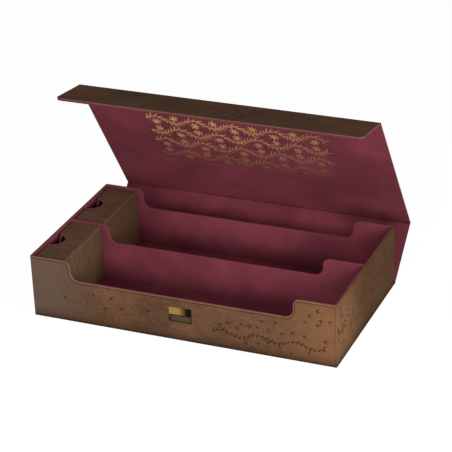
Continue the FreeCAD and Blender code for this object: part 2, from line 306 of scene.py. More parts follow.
        # Positive wear paints edges paler: rubbed leather, and a painted highlight where the rounding meets the light.
        wear_and_painted_light = add_node(tree, "ShaderNodeAttribute", attribute_name="wear_and_painted_light").outputs["Fac"]
        uneven = add_node(tree, "ShaderNodeMath", {0: wear_and_painted_light, 1: fleck}, operation="MULTIPLY").outputs[0]
        rub_and_highlight_share = add_node(tree, "ShaderNodeMapRange", {
            "Value": uneven, "From Min": 0.12, "From Max": 0.48, "To Max": 0.65}).outputs[0]
        colour = self._blend(tree, rub_and_highlight_share, colour, self.rub_and_highlight)
        # Negative wear darkens pressed lines and joins: painted shade in the grooves, and the dark joint of the seam.
        pressed_and_shaded = add_node(tree, "ShaderNodeMapRange", {
            "Value": wear_and_painted_light, "From Min": 0.0, "From Max": -1.0, "To Max": 0.75}).outputs[0]
        colour = self._blend(tree, pressed_and_shaded, colour, "#20160f")

        rough = add_node(tree, "ShaderNodeMapRange", {
            "Value": fleck, "To Min": self.roughness - 0.1, "To Max": self.roughness + 0.12}).outputs[0]
        height = add_node(tree, "ShaderNodeMath", {0: fleck, 1: 0.8, 2: grain},
                          operation="MULTIPLY_ADD").outputs[0]
        return self.close(tree, height, 0.10, {
            "Base Color": colour, "Roughness": rough, "Specular IOR Level": 0.02})


@dataclass(frozen=True)
class Microfibre(Finish):
    """Burgundy microfibre lining, raised and brushed to a short nap.

    To the eye it is a soft matt red, smudged where the nap lies one way or the other, with a faint
    bloom at grazing angles; painted shade darkens its creases and joins.

    Attributes:
        light: Colour of the nap brushed towards the eye.
        dark: Colour of the nap brushed away.
        smudge_mm: Size of the smudges.
        fibre_mm: Length of a fibre clump, drawn coarse so that it shows.
    """

    light: str = "#8e4350"
    dark: str = "#763642"
    smudge_mm: float = 70.0
    fibre_mm: float = 1.0

    def make(self) -> bpy.types.Material:
        """Make the brushed, smudged lining, with painted shade in its creases."""
        tree, here = self.start()
        smudge = add_node(tree, "ShaderNodeTexNoise", {
            "Vector": here, "Scale": 1 / (self.smudge_mm * MM), "Detail": 3.0, "Roughness": 0.5,
            "Distortion": 0.6}).outputs["Fac"]
        brushed = add_node(tree, "ShaderNodeMapping", {"Vector": here, "Scale": (0.3, 1.0, 1.0)})
        fibre = add_node(tree, "ShaderNodeTexNoise", {
            "Vector": brushed.outputs[0], "Scale": 1 / (self.fibre_mm * MM), "Detail": 3.0}).outputs["Fac"]
        tone = add_node(tree, "ShaderNodeMath", {0: fibre, 1: 0.25, 2: smudge},
                        operation="MULTIPLY_ADD").outputs[0]
        tone = add_node(tree, "ShaderNodeMapRange", {"Value": tone, "From Min": 0.42, "From Max": 0.85},
                        interpolation_type="SMOOTHSTEP").outputs[0]
        colour = add_node(tree, "ShaderNodeMix", {
            0: tone, 6: linear(self.dark), 7: linear(self.light)}, data_type="RGBA").outputs[2]
        # Negative wear darkens the lining's creases and joins: painted shade where they close up.
        wear_and_painted_light = add_node(tree, "ShaderNodeAttribute", attribute_name="wear_and_painted_light").outputs["Fac"]
        pressed_and_shaded = add_node(tree, "ShaderNodeMapRange", {
            "Value": wear_and_painted_light, "From Min": 0.0, "From Max": -1.0, "To Max": 0.7}).outputs[0]
        colour = add_node(tree, "ShaderNodeMix", {
            0: pressed_and_shaded, 6: colour, 7: (0.03, 0.006, 0.01, 1.0)}, data_type="RGBA").outputs[2]
        return self.close(tree, fibre, 0.12, {
            "Base Color": colour, "Roughness": 0.9, "Specular IOR Level": 0.08,
            "Sheen Weight": 0.08, "Sheen Roughness": 0.45, "Sheen Tint": linear("#c06a78")})


@dataclass(frozen=True)
class GreyBoard(Finish):
    """Bookbinder's grey board, pressed from pulped paper.

    To the eye it is a dull grey brown with darker and paler fibre flecks.
    """

    pulp: str = "#8d8578"
    fleck: str = "#5d564c"

    def make(self) -> bpy.types.Material:
        """Make the flecked board."""
        tree, here = self.start()
        fleck = add_node(tree, "ShaderNodeTexNoise", {
            "Vector": here, "Scale": 1 / (1.5 * MM), "Detail": 6.0, "Roughness": 0.7}).outputs["Fac"]
        tone = add_node(tree, "ShaderNodeMapRange", {
            "Value": fleck, "From Min": 0.35, "From Max": 0.6}).outputs[0]
        colour = add_node(tree, "ShaderNodeMix", {
            0: tone, 6: linear(self.fleck), 7: linear(self.pulp)}, data_type="RGBA").outputs[2]
        return self.close(tree, fleck, 0.08, {"Base Color": colour, "Roughness": 0.92})


@dataclass(frozen=True)
class Metal(Finish):
    """Sheet or plated metal with a drawn or tumbled surface.

    To the eye brass is a warm mirror blurred along its brushing, darkened towards one end by
    painted shade, and nickelled steel is a cooler, evenly blurred one.

    Attributes:
        bright: Colour of the clean metal.
        painted_shade_colour: Colour of the painted shade.
        brush_mm: Spacing of the brush lines.
        painted_shade_x: X in millimetres where the painted shade starts, and where it is full.
        roughness: Mean roughness.
    """

    bright: str = "#9c7c48"
    painted_shade_colour: str = "#191208"
    brush_mm: float = 0.5
    painted_shade_x: tuple[float, float] = (-3.0, 10.0)
    roughness: float = 0.42

    def make(self) -> bpy.types.Material:
        """Make the brushed metal, with painted shade towards its right end."""
        tree, here = self.start()
        drawn = add_node(tree, "ShaderNodeMapping", {"Vector": here, "Scale": (0.04, 1.0, 1.0)})
        brush = add_node(tree, "ShaderNodeTexNoise", {
            "Vector": drawn.outputs[0], "Scale": 1 / (self.brush_mm * MM), "Detail": 2.0}).outputs["Fac"]
        place = add_node(tree, "ShaderNodeSeparateXYZ", {0: here}).outputs
        spread = add_node(tree, "ShaderNodeMath", {0: brush, 1: 2.5 * MM, 2: place[0]},
                          operation="MULTIPLY_ADD").outputs[0]
        # Painted shade over the right end of the plate, as the shade from the window's side wall.
        painted_end_shade = add_node(tree, "ShaderNodeMapRange", {
            "Value": spread, "From Min": self.painted_shade_x[0] * MM, "From Max": self.painted_shade_x[1] * MM},
            interpolation_type="SMOOTHSTEP").outputs[0]
        colour = add_node(tree, "ShaderNodeMix", {
            0: painted_end_shade, 6: linear(self.bright), 7: linear(self.painted_shade_colour)}, data_type="RGBA").outputs[2]
        rough = add_node(tree, "ShaderNodeMapRange", {
            "Value": brush, "To Min": self.roughness - 0.08, "To Max": self.roughness + 0.08}).outputs[0]
        return self.close(tree, brush, 0.02, {
            "Base Color": colour, "Roughness": rough, "Metallic": 1.0})


@dataclass(frozen=True)
class FoilPrint(Finish):
    """Hot-stamped foil or ink on a nap, thinning where the stamp pressed lightly.

    To the eye it is a dry, broken colour that sinks into the ground towards its lower edge.

    Attributes:
        ink: Colour of the print.
        ground: Colour of what it is printed on.
        fade_from: Height in millimetres where the print starts to thin.
        fade_to: Height where it is nearly gone.
        worn_right: How much of it is worn away 110 mm to the right of the middle.
        metallic: How metallic the print is.
        gloss: Specular level of the print.
    """

    ink: str = "#f6c284"
    ground: str = "#6c3536"
    fade_from: float = 176.0
    fade_to: float = 112.0
    worn_right: float = 0.5
    metallic: float = 0.25
    gloss: float = 0.1

    def make(self) -> bpy.types.Material:
        """Make the broken, fading print."""
        tree, here = self.start()
        broken = add_node(tree, "ShaderNodeTexNoise", {
            "Vector": here, "Scale": 1 / (2.2 * MM), "Detail": 4.0, "Roughness": 0.65}).outputs["Fac"]
        place = add_node(tree, "ShaderNodeSeparateXYZ", {0: here}).outputs
        fade = add_node(tree, "ShaderNodeMapRange", {
            "Value": place[2], "From Min": self.fade_to * MM, "From Max": self.fade_from * MM,
            "To Min": 0.12, "To Max": 1.05}).outputs[0]
        patch = add_node(tree, "ShaderNodeMapRange", {
            "Value": broken, "From Min": 0.3, "From Max": 0.62, "To Min": 0.45, "To Max": 1.15}).outputs[0]
        left = add_node(tree, "ShaderNodeMapRange", {
            "Value": place[0], "From Min": -0.02, "From Max": 0.11, "To Min": 1.0,
            "To Max": 1 - self.worn_right}).outputs[0]
        fade = add_node(tree, "ShaderNodeMath", {0: fade, 1: left}, operation="MULTIPLY").outputs[0]
        cover = add_node(tree, "ShaderNodeMath", {0: fade, 1: patch}, operation="MULTIPLY",
                         use_clamp=True).outputs[0]
        colour = add_node(tree, "ShaderNodeMix", {
            0: cover, 6: linear(self.ground), 7: linear(self.ink)}, data_type="RGBA").outputs[2]
        return self.close(tree, broken, 0.04, {
            "Base Color": colour, "Roughness": 0.65, "Metallic": self.metallic, "Specular IOR Level": self.gloss})


@dataclass(frozen=True)
class Finishes:
    """Every finish of the box."""

    outer: Leatherette = Leatherette("embossed_printed_leatherette")
    # The case's leatherette gets painted shade at its foot and towards the back of its end faces.
    case: Leatherette = Leatherette(
        "embossed_case_leatherette", light="#80604a", dark="#54402f", cool="#604a3c", warm="#7a563d",
        rub_and_highlight="#7d6a58", painted_rear_shade="#5a4230", painted_foot_shade=0.9)
    # The pad is the wall's leatherette painted darker, as painted shade in the window it lies in.
    pad: Leatherette = Leatherette(
        "recess_shaded_label_leatherette", light="#6d5343", dark="#46352a", cool="#5c493c", warm="#6d5343",
        painted_foot_shade=0.0)
    lining: Microfibre = Microfibre("brushed_burgundy_microfibre")
    board: GreyBoard = GreyBoard("pressed_grey_board")
    brass: Metal = Metal("brushed_brass")
    steel: Metal = Metal("nickelled_magnet_steel", bright="#b9b6b0", painted_shade_colour="#8c8984", roughness=0.28)
    gold: FoilPrint = FoilPrint("stamped_gold_foil")
    ink: FoilPrint = FoilPrint("printed_brown_ink", ink="#3a2a1d", ground="#5d4230", fade_from=20.0,
                               fade_to=-60.0, worn_right=0.0, metallic=0.0, gloss=0.02)


FINISHES = Finishes()


# Mesh making


@dataclass
class Draft:
    """Mesh being drawn in millimetres.

    Attributes:
        points: Places of the vertices.
        faces: Vertex numbers of each face.
        wear_and_painted_light: 1 where a finish is rubbed and gets a painted highlight, -1 where it is pressed into a
            line and gets painted shade, 0 elsewhere.
    """

    points: list[Vector] = field(default_factory=list)
    faces: list[tuple[int, ...]] = field(default_factory=list)
    wear_and_painted_light: list[float] = field(default_factory=list)

    def ring(self, points: Sequence[Vector], wear_and_painted_light: float = 0.0) -> list[int]:
        """Add a row of vertices.

        Args:
            points: Their places.
            wear_and_painted_light: Their wear, above 0 for a painted highlight and below 0 for painted shade.

        Returns:
            Their numbers.
        """
        first = len(self.points)
        self.points.extend(points)
        self.wear_and_painted_light.extend([wear_and_painted_light] * len(points))
        return list(range(first, len(self.points)))

    def bridge(self, a: Sequence[int], b: Sequence[int], closed: bool = True) -> None:
        """Join two rows of as many vertices with quads."""
        for i in range(len(a) if closed else len(a) - 1):
            j = (i + 1) % len(a)
            self.faces.append((a[i], a[j], b[j], b[i]))

    def fill(self, *loops: Sequence[int]) -> None:
        """Fill a flat loop, less any holes given after it."""
        numbers = [i for loop in loops for i in loop]
        for corners in tessellate_polygon([[self.points[i] for i in loop] for loop in loops]):
            self.faces.append(tuple(numbers[k] for k in corners))

    def piece(self, name: str, finish: Finish, place: Matrix | None = None) -> bpy.types.Object:
        """Turn the draft into a finished object, its place in its mesh.

        Args:
            name: Name of the piece.
            finish: Finish of its surface.
            place: Turn and shift, in millimetres, from the draft to the box.

        Returns:
            The object, smooth over its roundings and flat on its faces.
        """
        mesh = bpy.data.meshes.new(name)
        mesh.from_pydata([((place @ p) if place else p) * MM for p in self.points], [], self.faces)
        mesh.attributes.new("wear_and_painted_light", "FLOAT", "POINT").data.foreach_set("value", self.wear_and_painted_light)
        work = bmesh.new()
        work.from_mesh(mesh)
        bmesh.ops.remove_doubles(work, verts=work.verts, dist=0.004 * MM)
        bmesh.ops.dissolve_degenerate(work, dist=0.002 * MM, edges=work.edges)
        bmesh.ops.recalc_face_normals(work, faces=work.faces)
        work.to_mesh(mesh)
        work.free()
        return finished(name, mesh, finish)


def finished(name: str, mesh: bpy.types.Mesh, finish: Finish) -> bpy.types.Object:
    """Put a mesh in the scene with shading weighted towards its large faces.

    Args:
        name: Name of the piece.
        mesh: Its mesh, in metres and in place.
        finish: Finish of its surface.

    Returns:
        The object.
    """
    mesh.shade_smooth()
    mesh.set_sharp_from_angle(angle=math.radians(40))
    made = bpy.data.objects.new(name, mesh)
    bpy.context.scene.collection.objects.link(made)
    weighted = made.modifiers.new("weighted", "WEIGHTED_NORMAL")
    weighted.keep_sharp = True
    shaded = plain_mesh(made)
    made.modifiers.clear()
    made.data = shaded
    made.data.name = name
    made.data.materials.clear()
    made.data.materials.append(finish.material())
    return made


def plain_mesh(made: bpy.types.Object) -> bpy.types.Mesh:
    """Return the mesh that an object's modifiers give."""
    bpy.context.view_layer.update()
    shown = made.evaluated_get(bpy.context.evaluated_depsgraph_get())
    return bpy.data.meshes.new_from_object(shown, preserve_all_data_layers=True,
                                           depsgraph=bpy.context.evaluated_depsgraph_get())


def arc(centre: tuple[float, float], radius: float, start: float, end: float,
        convex: bool) -> list[tuple[float, float, float, float]]:
    """Points along an arc of a rim, with their directions into the wall.

    Args:
        centre: Centre, along the wall and up.
        radius: Radius.
        start: First angle in degrees.
        end: Last angle in degrees.
        convex: True where the wall is on the centre's side.

    Returns:
        For each point its place and its direction into the wall, along and up.
    """
    sign = -1 if convex else 1
    found = []
    for k in range(ARC_STEPS + 1):
        angle = math.radians(start + (end - start) * k / ARC_STEPS)
        c, s = math.cos(angle), math.sin(angle)
        found.append((centre[0] + radius * c, centre[1] + radius * s, sign * c, sign * s))
    return found


def mirrored(half: list[tuple[float, float, float, float]]) -> list[tuple[float, float, float, float]]:
    """Complete a rim line with the mirror of its left half."""
    return half + [(-t, z, -mt, mz) for t, z, mt, mz in reversed(half)]


@dataclass(frozen=True)
class SCurve:
    """Wide cut-out of a wall, between two S-curved shoulders.

    Attributes:
        half: Half of its width at the upright stretch.
        low: Height of its floor.
        shoulder: Radius of the upper curve.
        hollow: Radius of the lower curve.
    """

    half: float
    low: float
    shoulder: float = 8.3
    hollow: float = 10.0

    def line(self, rim: float) -> list[tuple[float, float, float, float]]:
        """Return the rim line under a rim height, from left to right."""
        crest = arc((-self.half - self.shoulder, rim - self.shoulder), self.shoulder, 90, 0, True)
        dip = arc((self.hollow - self.half, self.low + self.hollow), self.hollow, 180, 270, False)
        return mirrored(crest + dip)


@dataclass(frozen=True)
class HalfMoon:
    """Thumb notch with eased mouth corners.

    Attributes:
        radius: Radius of the notch.
        ease: Radius of the mouth corners.
    """

    radius: float
    ease: float = 3.0

    def line(self, rim: float) -> list[tuple[float, float, float, float]]:
        """Return the rim line under a rim height, from left to right."""
        reach = math.sqrt((self.radius + self.ease) ** 2 - self.ease**2)
        slope = math.degrees(math.atan2(self.ease, reach))
        mouth = arc((-reach, rim - self.ease), self.ease, 90, slope, True)
        moon = arc((0.0, rim), self.radius, 180 + slope, 270, False)
        return mirrored(mouth + moon)


@dataclass
class RimPoint:
    """Point on the rim of a ring of walls.

    Attributes:
        place: Where it is on the guiding outline.
        down: Direction into the wall along its plane.
        across: Direction into the wall's thickness.
        side: Side that it is on.
        foot: True where the wall has a vertex at its foot too.
    """

    place: Vector
    down: Vector
    across: Vector
    side: Side
    foot: bool

    def at(self, depth: float, across: float) -> Vector:
        """Return the point this deep below the rim and this far into the wall."""
        return self.place + self.down * depth + self.across * across


@dataclass
class WallRing:
    """Four upright walls in a ring, seen from above, with the rim line of each.

    Attributes:
        low: Lowest X and Y of the guiding outline.
        high: Highest X and Y.
        rim: Height of the rim.
        corner_r: Radius of the outline's corners.
        cuts: Cut-out of a side.
        marks: More places on the short sides' rims, measured from their middles.
        inner: True if the outline is the walls' inner face.
    """

    low: tuple[float, float]
    high: tuple[float, float]
    rim: float
    corner_r: float
    cuts: dict[Side, SCurve | HalfMoon] = field(default_factory=dict)
    marks: tuple[float, ...] = ()
    inner: bool = False

    def points(self) -> list[RimPoint]:
        """Return the rim points in a loop, starting at the front's left end."""
        middle = Vector(((self.low[0] + self.high[0]) / 2, (self.low[1] + self.high[1]) / 2, 0))
        half = Vector(((self.high[0] - self.low[0]) / 2, (self.high[1] - self.low[1]) / 2, 0))
        turn = -1 if self.inner else 1
        found = []
        for side in (Side.FRONT, Side.RIGHT, Side.REAR, Side.LEFT):
            along = Matrix.Rotation(side.value * math.pi / 2, 3, "Z") @ Vector((1, 0, 0))
            inward = Matrix.Rotation(side.value * math.pi / 2, 3, "Z") @ Vector((0, 1, 0))
            reach = abs(along.dot(half)) - self.corner_r
            face = middle - inward * abs(inward.dot(half))
            line = [(-reach, self.rim, 0.0, -1.0), (reach, self.rim, 0.0, -1.0)]
            if side in self.cuts:
                line[1:1] = self.cuts[side].line(self.rim)
            elif side in (Side.RIGHT, Side.LEFT):
                line[1:1] = [(t, self.rim, 0.0, -1.0) for t in self.marks]
            for k, (t, z, mt, mz) in enumerate(line):
                place = face + along * t + Vector((0, 0, z))
                ends = k in (0, len(line) - 1)
                found.append(RimPoint(place, along * mt + Vector((0, 0, mz)), inward * turn, side, ends))
            centre = face + along * reach + inward * self.corner_r
            for k in range(1, ARC_STEPS):
                outward = Matrix.Rotation(math.pi / 2 * k / ARC_STEPS, 3, "Z") @ -inward
                place = centre + outward * self.corner_r + Vector((0, 0, self.rim))
                found.append(RimPoint(place, Vector((0, 0, -1)), outward * -turn, Side.CORNER, True))
        return found


@dataclass
class WallDraft(Draft):
    """Draft of a wrap over a ring of walls."""

    def wrap(self, rim: list[RimPoint], rows: list[tuple[Callable[[RimPoint], Vector], float]]) -> list[list[int]]:
        """Lay rows of vertices round the rim and join them.

        Args:
            rim: Rim points.
            rows: For each row, where it lies for a rim point, and its wear, which also carries painted light.

        Returns:
            Vertex numbers of each row.
        """
        rings = []
        for lay, wear_and_painted_light in rows:
            ring = self.ring([lay(p) for p in rim], wear_and_painted_light)
            for number, p in zip(ring, rim):
                if p.side in (Side.RIGHT, Side.LEFT):
                    self.wear_and_painted_light[number] = min(wear_and_painted_light, 0.15)
            rings.append(ring)
        for a, b in zip(rings, rings[1:]):
            self.bridge(a, b)
        return rings

    def seam(self, deep: float) -> None:
        """Press a dark upright line at the front wall's right end, where the wrap is joined.

        Args:
            deep: Wear of the line.
        """
        centre = Vector((HALF_L - CORNER_R, CORNER_R - HALF_D, 0))
        for number, point in enumerate(self.points):
            out = point - centre
            if out.x > 0.02 and -out.y > 2 * out.x:
                self.wear_and_painted_light[number] = min(self.wear_and_painted_light[number], deep)

    def skirt(self, rim: list[RimPoint], top: list[int], feet: list[tuple[float, float]],
              holes: dict[Side, list[list[int]]] | None = None) -> list[int]:
        """Carry a row down flat faces and corners to the walls' feet.

        Args:
            rim: Rim points.
            top: Row that the faces hang from.
            feet: Depth into the wall and height of each row at the foot, from the top one down.
            holes: Loops left open in a side.

        Returns:
            The last row at the foot.
        """
        standing = [i for i, p in enumerate(rim) if p.foot]
        rows = []
        for across, height in feet:
            spots = [rim[i].at(0, across) for i in standing]
            rows.append(self.ring([Vector((s.x, s.y, height)) for s in spots]))
        for a, b in zip(rows, rows[1:]):
            self.bridge(a, b)
        foot_of = dict(zip(standing, rows[0]))
        for side in (Side.FRONT, Side.RIGHT, Side.REAR, Side.LEFT):
            run = [i for i, p in enumerate(rim) if p.side == side]
            loop = [top[i] for i in run] + [foot_of[run[-1]], foot_of[run[0]]]
            self.fill(loop, *(holes or {}).get(side, []))
        for i, p in enumerate(rim):
            j = (i + 1) % len(rim)
            if Side.CORNER in (p.side, rim[j].side):
                self.faces.append((top[i], top[j], foot_of[j], foot_of[i]))
        return rows[-1]


@dataclass
class Outline:
    """Closed outline of a flat panel, with directions into it.

    Attributes:
        spots: Place and inward direction of each point, in the panel's plane.
    """

    spots: list[tuple[Vector, Vector]]

    @classmethod
    def of_box(cls, low: tuple[float, float], high: tuple[float, float], near_r: float, far_r: float,
               moon: HalfMoon | None = None) -> "Outline":
        """Outline of a rectangle with rounded corners.

        Args:
            low: Lowest X and Y.
            high: Highest X and Y.
            near_r: Radius of the two corners at the lowest Y.
            far_r: Radius of the two corners at the highest Y.
            moon: Notch in the edge at the lowest X.

        Returns:
            The outline, anticlockwise.
        """
        spots = []
        corners = ((low[0], low[1], near_r, 180), (high[0], low[1], near_r, 270),
                   (high[0], high[1], far_r, 0), (low[0], high[1], far_r, 90))
        for x, y, radius, start in corners:
            centre = Vector((min(max(x, low[0] + radius), high[0] - radius),
                             min(max(y, low[1] + radius), high[1] - radius), 0))
            for k in range(ARC_STEPS + 1):
                angle = math.radians(start + 90 * k / ARC_STEPS)
                outward = Vector((math.cos(angle), math.sin(angle), 0))
                spots.append((centre + outward * radius, -outward))
        if moon:
            middle = (low[1] + high[1]) / 2
            for t, z, mt, mz in moon.line(0.0):
                spots.append((Vector((low[0] - z, middle - t, 0)), Vector((-mz, -mt, 0))))
        return cls(spots)

    def ring(self, inset: float, height: float) -> list[Vector]:
        """Return the outline drawn in by an inset, at a height."""
        return [spot + inward * inset + Vector((0, 0, height)) for spot, inward in self.spots]


def rounding(radius: float, depth: float, across: float, steps: int = 5) -> list[tuple[float, float]]:
    """Quarter round from a face over an edge.

    Args:
        radius: Radius.
        depth: Depth of the edge below the rim.
        across: Distance of the edge across the wall.
        steps: How many facets.

    Returns:
        Depth and distance across, from the upright face to the flat one.
    """
    found = []
    for k in range(steps + 1):
        angle = math.pi / 2 * k / steps
        found.append((depth + radius * (1 - math.sin(angle)), across + radius * (1 - math.cos(angle))))
    return found


def dress(made: bpy.types.Object, body: str, slot: Slot, *nodes: str) -> bpy.types.Object:
    """Let a finished piece ride on its body in place of its nodes.

    Args:
        made: The piece.
        body: Body that it moves with.
        slot: Slot of the record that it takes its finish from; not used.
        *nodes: Nodes that it stands for.

    Returns:
        The piece.
    """
    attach(made, body)
    if nodes:
        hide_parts(*nodes)
    LOG.info("%s rides on %s and has %d faces", made.name, body, len(made.data.polygons))
    return made


# Sub-assemblies


@dataclass
class Tray:
    """Tray walls and floor: the leatherette wrap outside and the lining inside.

    Attributes:
        cut: Cut-out of the front and rear walls.
        rim_r: Rounding of the leather over the long rims.
        side_rim_r: Rounding of the leather edge along the short rims.
        over: How far the leather reaches over the long rims, where it meets the lining.
        seam: Width of the open joint between leather and lining.
        crease_depth: Depth of the pressed line on the outer faces.
        crease_at: How far below the rim that line lies.
        window: Half width, lowest and highest Z of the label window.
        window_depth: How far the window goes in.
    """

    cut: SCurve = SCurve(half=134.0, low=52.8)
    rim_r: float = 1.0
    side_rim_r: float = 0.45
    over: float = 1.8
    seam: float = 0.06
    crease_depth: float = 0.22
    crease_at: float = 2.3
    window: tuple[float, float, float] = (13.6, 23.6, 41.4)
    window_depth: float = 1.4

    def _cuts(self) -> dict[Side, SCurve]:
        """Return the cut-outs of the two long walls."""
        return {Side.FRONT: self.cut, Side.REAR: self.cut}

    def _leather_row(self, depth: float, across: float) -> Callable[[RimPoint], Vector]:
        """Lay a row on the outer face, with the crease fading out at the short sides."""
        def lay(p: RimPoint) -> Vector:
            long_side = p.side in (Side.FRONT, Side.REAR)
            return p.at(depth, across if long_side else across * 0.3)
        return lay

    def _rounded_row(self, share: float) -> Callable[[RimPoint], Vector]:
        """Lay a row on the rounding of the rim, a share of the way over it."""
        def lay(p: RimPoint) -> Vector:
            radius = self.rim_r if p.side in (Side.FRONT, Side.REAR) else self.side_rim_r
            if p.side == Side.CORNER:
                radius = (self.rim_r + self.side_rim_r) / 2
            angle = math.pi / 2 * share
            return p.at(radius * (1 - math.sin(angle)), radius * (1 - math.cos(angle)))
        return lay

    def _lip_row(self, depth: float, across: float) -> Callable[[RimPoint], Vector]:
        """Lay a row on the top of the long walls; on the short walls the leather ends at its edge."""
        def lay(p: RimPoint) -> Vector:
            if p.side in (Side.FRONT, Side.REAR):
                return p.at(depth, across)
            if p.side == Side.CORNER or abs(p.place.y) > HALF_D - self.over - 0.01:
                x = math.copysign(min(abs(p.place.x), HALF_L - LAYER), p.place.x)
                y = math.copysign(min(abs(p.place.y), HALF_D - across), p.place.y)
                return Vector((x, y, HEIGHT - depth))
            return p.at(max(depth, 0.02), LAYER)
        return lay

    def leather(self) -> bpy.types.Object:
        """Wrap the leatherette round the outer faces and over the outer half of the long rims."""
        tabs = HALF_D - self.over
        reach_x, reach_y = HALF_L - PRINT_ROOM, HALF_D - PRINT_ROOM
        ring = WallRing((-reach_x, -reach_y), (reach_x, reach_y), HEIGHT, CORNER_R, self._cuts(),
                        marks=(-tabs, tabs))
        rim = ring.points()
        line, deep = self.crease_at, self.crease_depth
        # The last number of each row paints a highlight over the rim's rounding and shade in the pressed line below it.
        rows = [(self._leather_row(line + 0.9, 0.0), 0.0)]
        for offset, share, wear_and_painted_light in ((0.6, 0.0, 0.0), (0.3, 0.55, -0.8), (0.0, 1.0, -1.0), (-0.3, 0.55, -0.8),
                                    (-0.6, 0.0, 0.2)):
            rows.append((self._leather_row(line + offset, deep * share), wear_and_painted_light))
        rows += [(self._rounded_row(k / 5), 0.6 + 0.08 * k) for k in range(6)]
        rows += [(self._lip_row(0.0, self.over - 0.35), 0.9), (self._lip_row(0.06, self.over - 0.15), 0.3),
                 (self._lip_row(0.2, self.over), -0.5), (self._lip_row(LAYER, self.over), 0.0)]
        rows.append((lambda p: p.at(LAYER, LAYER), 0.0))
        draft = WallDraft()
        rings = draft.wrap(rim, rows)
        near_hole, far_hole = self._window(draft)
        outer = draft.skirt(rim, rings[0], [(0.0, BASE_TOP + 0.15), (0.12, BASE_TOP)], {Side.FRONT: [near_hole]})
        inner = draft.skirt(rim, rings[-1], [(LAYER, BASE_TOP)], {Side.FRONT: [far_hole]})
        draft.bridge(outer, inner)
        draft.seam(-0.75)
        return dress(draft.piece("tray_leather_wrap", FINISHES.outer), "tray", Slot.LEATHERETTE,
                     "tray_outer_skin")

    def _window(self, draft: Draft) -> tuple[list[int], list[int]]:
        """Line the label window with turned-in leather.

        Args:
            draft: Draft of the wrap.

        Returns:
            The loops where the window opens in the wrap's outer and inner faces.
        """
        half, low, high = self.window
        corner = 0.6
        opening = Outline.of_box((-half, low), (half, high), corner, corner)

        def loop(inset: float, across: float, wear_and_painted_light: float) -> list[int]:
            flat = opening.ring(inset, 0.0)
            return draft.ring([Vector((p.x, max(across, PRINT_ROOM) - HALF_D, p.y)) for p in flat], wear_and_painted_light)

        # The window's rounded lip gets painted shade, as the shade at the edge of the recess.
        rings = [loop(-0.7, 0.0, 0.0)]
        rings += [loop(-across, depth, -0.7) for across, depth in rounding(0.4, 0.0, 0.0)]
        rings += [loop(0.0, self.window_depth, 0.0), loop(-0.3, self.window_depth, 0.0)]
        rings.append(loop(-0.3, LAYER, 0.0))
        for a, b in zip(rings, rings[1:]):
            draft.bridge(a, b)
        return rings[0], rings[-1]

    def _lining_row(self, long_spot: tuple[float, float], short_spot: tuple[float, float],
                    squared: bool = False) -> Callable[[RimPoint], Vector]:
        """Lay a row of the lining.

        Args:
            long_spot: Depth and distance across on the long walls.
            short_spot: The same on the short walls.
            squared: True where the row turns a square corner on top of the walls.

        Returns:
            The row's place for a rim point.
        """
        def lay(p: RimPoint) -> Vector:
            if p.side in (Side.RIGHT, Side.LEFT):
                return p.at(*short_spot)
            if p.side != Side.CORNER:
                return p.at(*long_spot)
            depth = (long_spot[0] + short_spot[0]) / 2
            if not squared:
                return p.at(depth, (long_spot[1] + short_spot[1]) / 2)
            far = p.at(depth, 2 * PANEL)
            reach_x, reach_y = INNER_X + short_spot[1], INNER_Y + long_spot[1]
            return Vector((min(max(far.x, -reach_x), reach_x), min(max(far.y, -reach_y), reach_y), far.z))
        return lay

    def lining(self) -> bpy.types.Object:
        """Line the inner faces, turned over the rims to meet the leather."""
        ring = WallRing((-INNER_X, -INNER_Y), (INNER_X, INNER_Y), HEIGHT, 0.8, self._cuts(), inner=True)
        rim = ring.points()
        long_r, short_r = 0.7, 0.9
        long_end = PANEL - self.over - self.seam
        short_end = PANEL - LAYER - self.seam
        low = 0.03
        # The row where the lining meets the leather on the rim gets painted shade.
        rows = [(self._lining_row((3.4, 0.0), (3.4, 0.0)), 0.0)]
        turns = zip(rounding(long_r, low, 0.0), rounding(short_r, low, 0.0))
        rows += [(self._lining_row(a, b), 0.0) for a, b in turns]
        rows += [(self._lining_row((low, long_end - 0.2), (low, short_end - 0.25), True), 0.0),
                 (self._lining_row((0.15, long_end), (0.15, short_end), True), -0.6),
                 (self._lining_row((LAYER, long_end), (LAYER, short_end), True), 0.0),
                 (self._lining_row((LAYER, LAYER), (LAYER, LAYER)), 0.0)]
        draft = WallDraft()
        rings = draft.wrap(rim, rows)
        foot = FLOOR_TOP - LAYER
        near = draft.skirt(rim, rings[0], [(0.0, foot)])
        far = draft.skirt(rim, rings[-1], [(LAYER, foot)])
        draft.bridge(near, far)
        return dress(draft.piece("tray_lining", FINISHES.lining), "tray", Slot.LINING, "tray_wall_lining")

    def floor(self) -> bpy.types.Object:
        """Lay the floor lining, its edges turned up a little against the walls."""
        outline = Outline.of_box((-INNER_X, -INNER_Y), (INNER_X, INNER_Y), 0.9, 0.9)
        draft = Draft()
        foot = FLOOR_TOP - LAYER
        # The floor's turned-up edge gets painted shade, as the shade in the corner against the walls.
        rings = [draft.ring(outline.ring(0.02, foot)), draft.ring(outline.ring(0.02, FLOOR_TOP + 0.5), -0.5)]
        rings.append(draft.ring(outline.ring(0.25, FLOOR_TOP + 0.12), -0.3))
        rings.append(draft.ring(outline.ring(0.7, FLOOR_TOP)))
        for a, b in zip(rings, rings[1:]):
            draft.bridge(a, b)
        draft.fill(rings[0])
        draft.fill(rings[-1])
        return dress(draft.piece("tray_floor_nap", FINISHES.lining), "tray", Slot.LINING, "tray_floor_lining")

    def build(self) -> None:
        """Build every wrap of the tray."""
        self.leather()
        self.lining()
        self.floor()


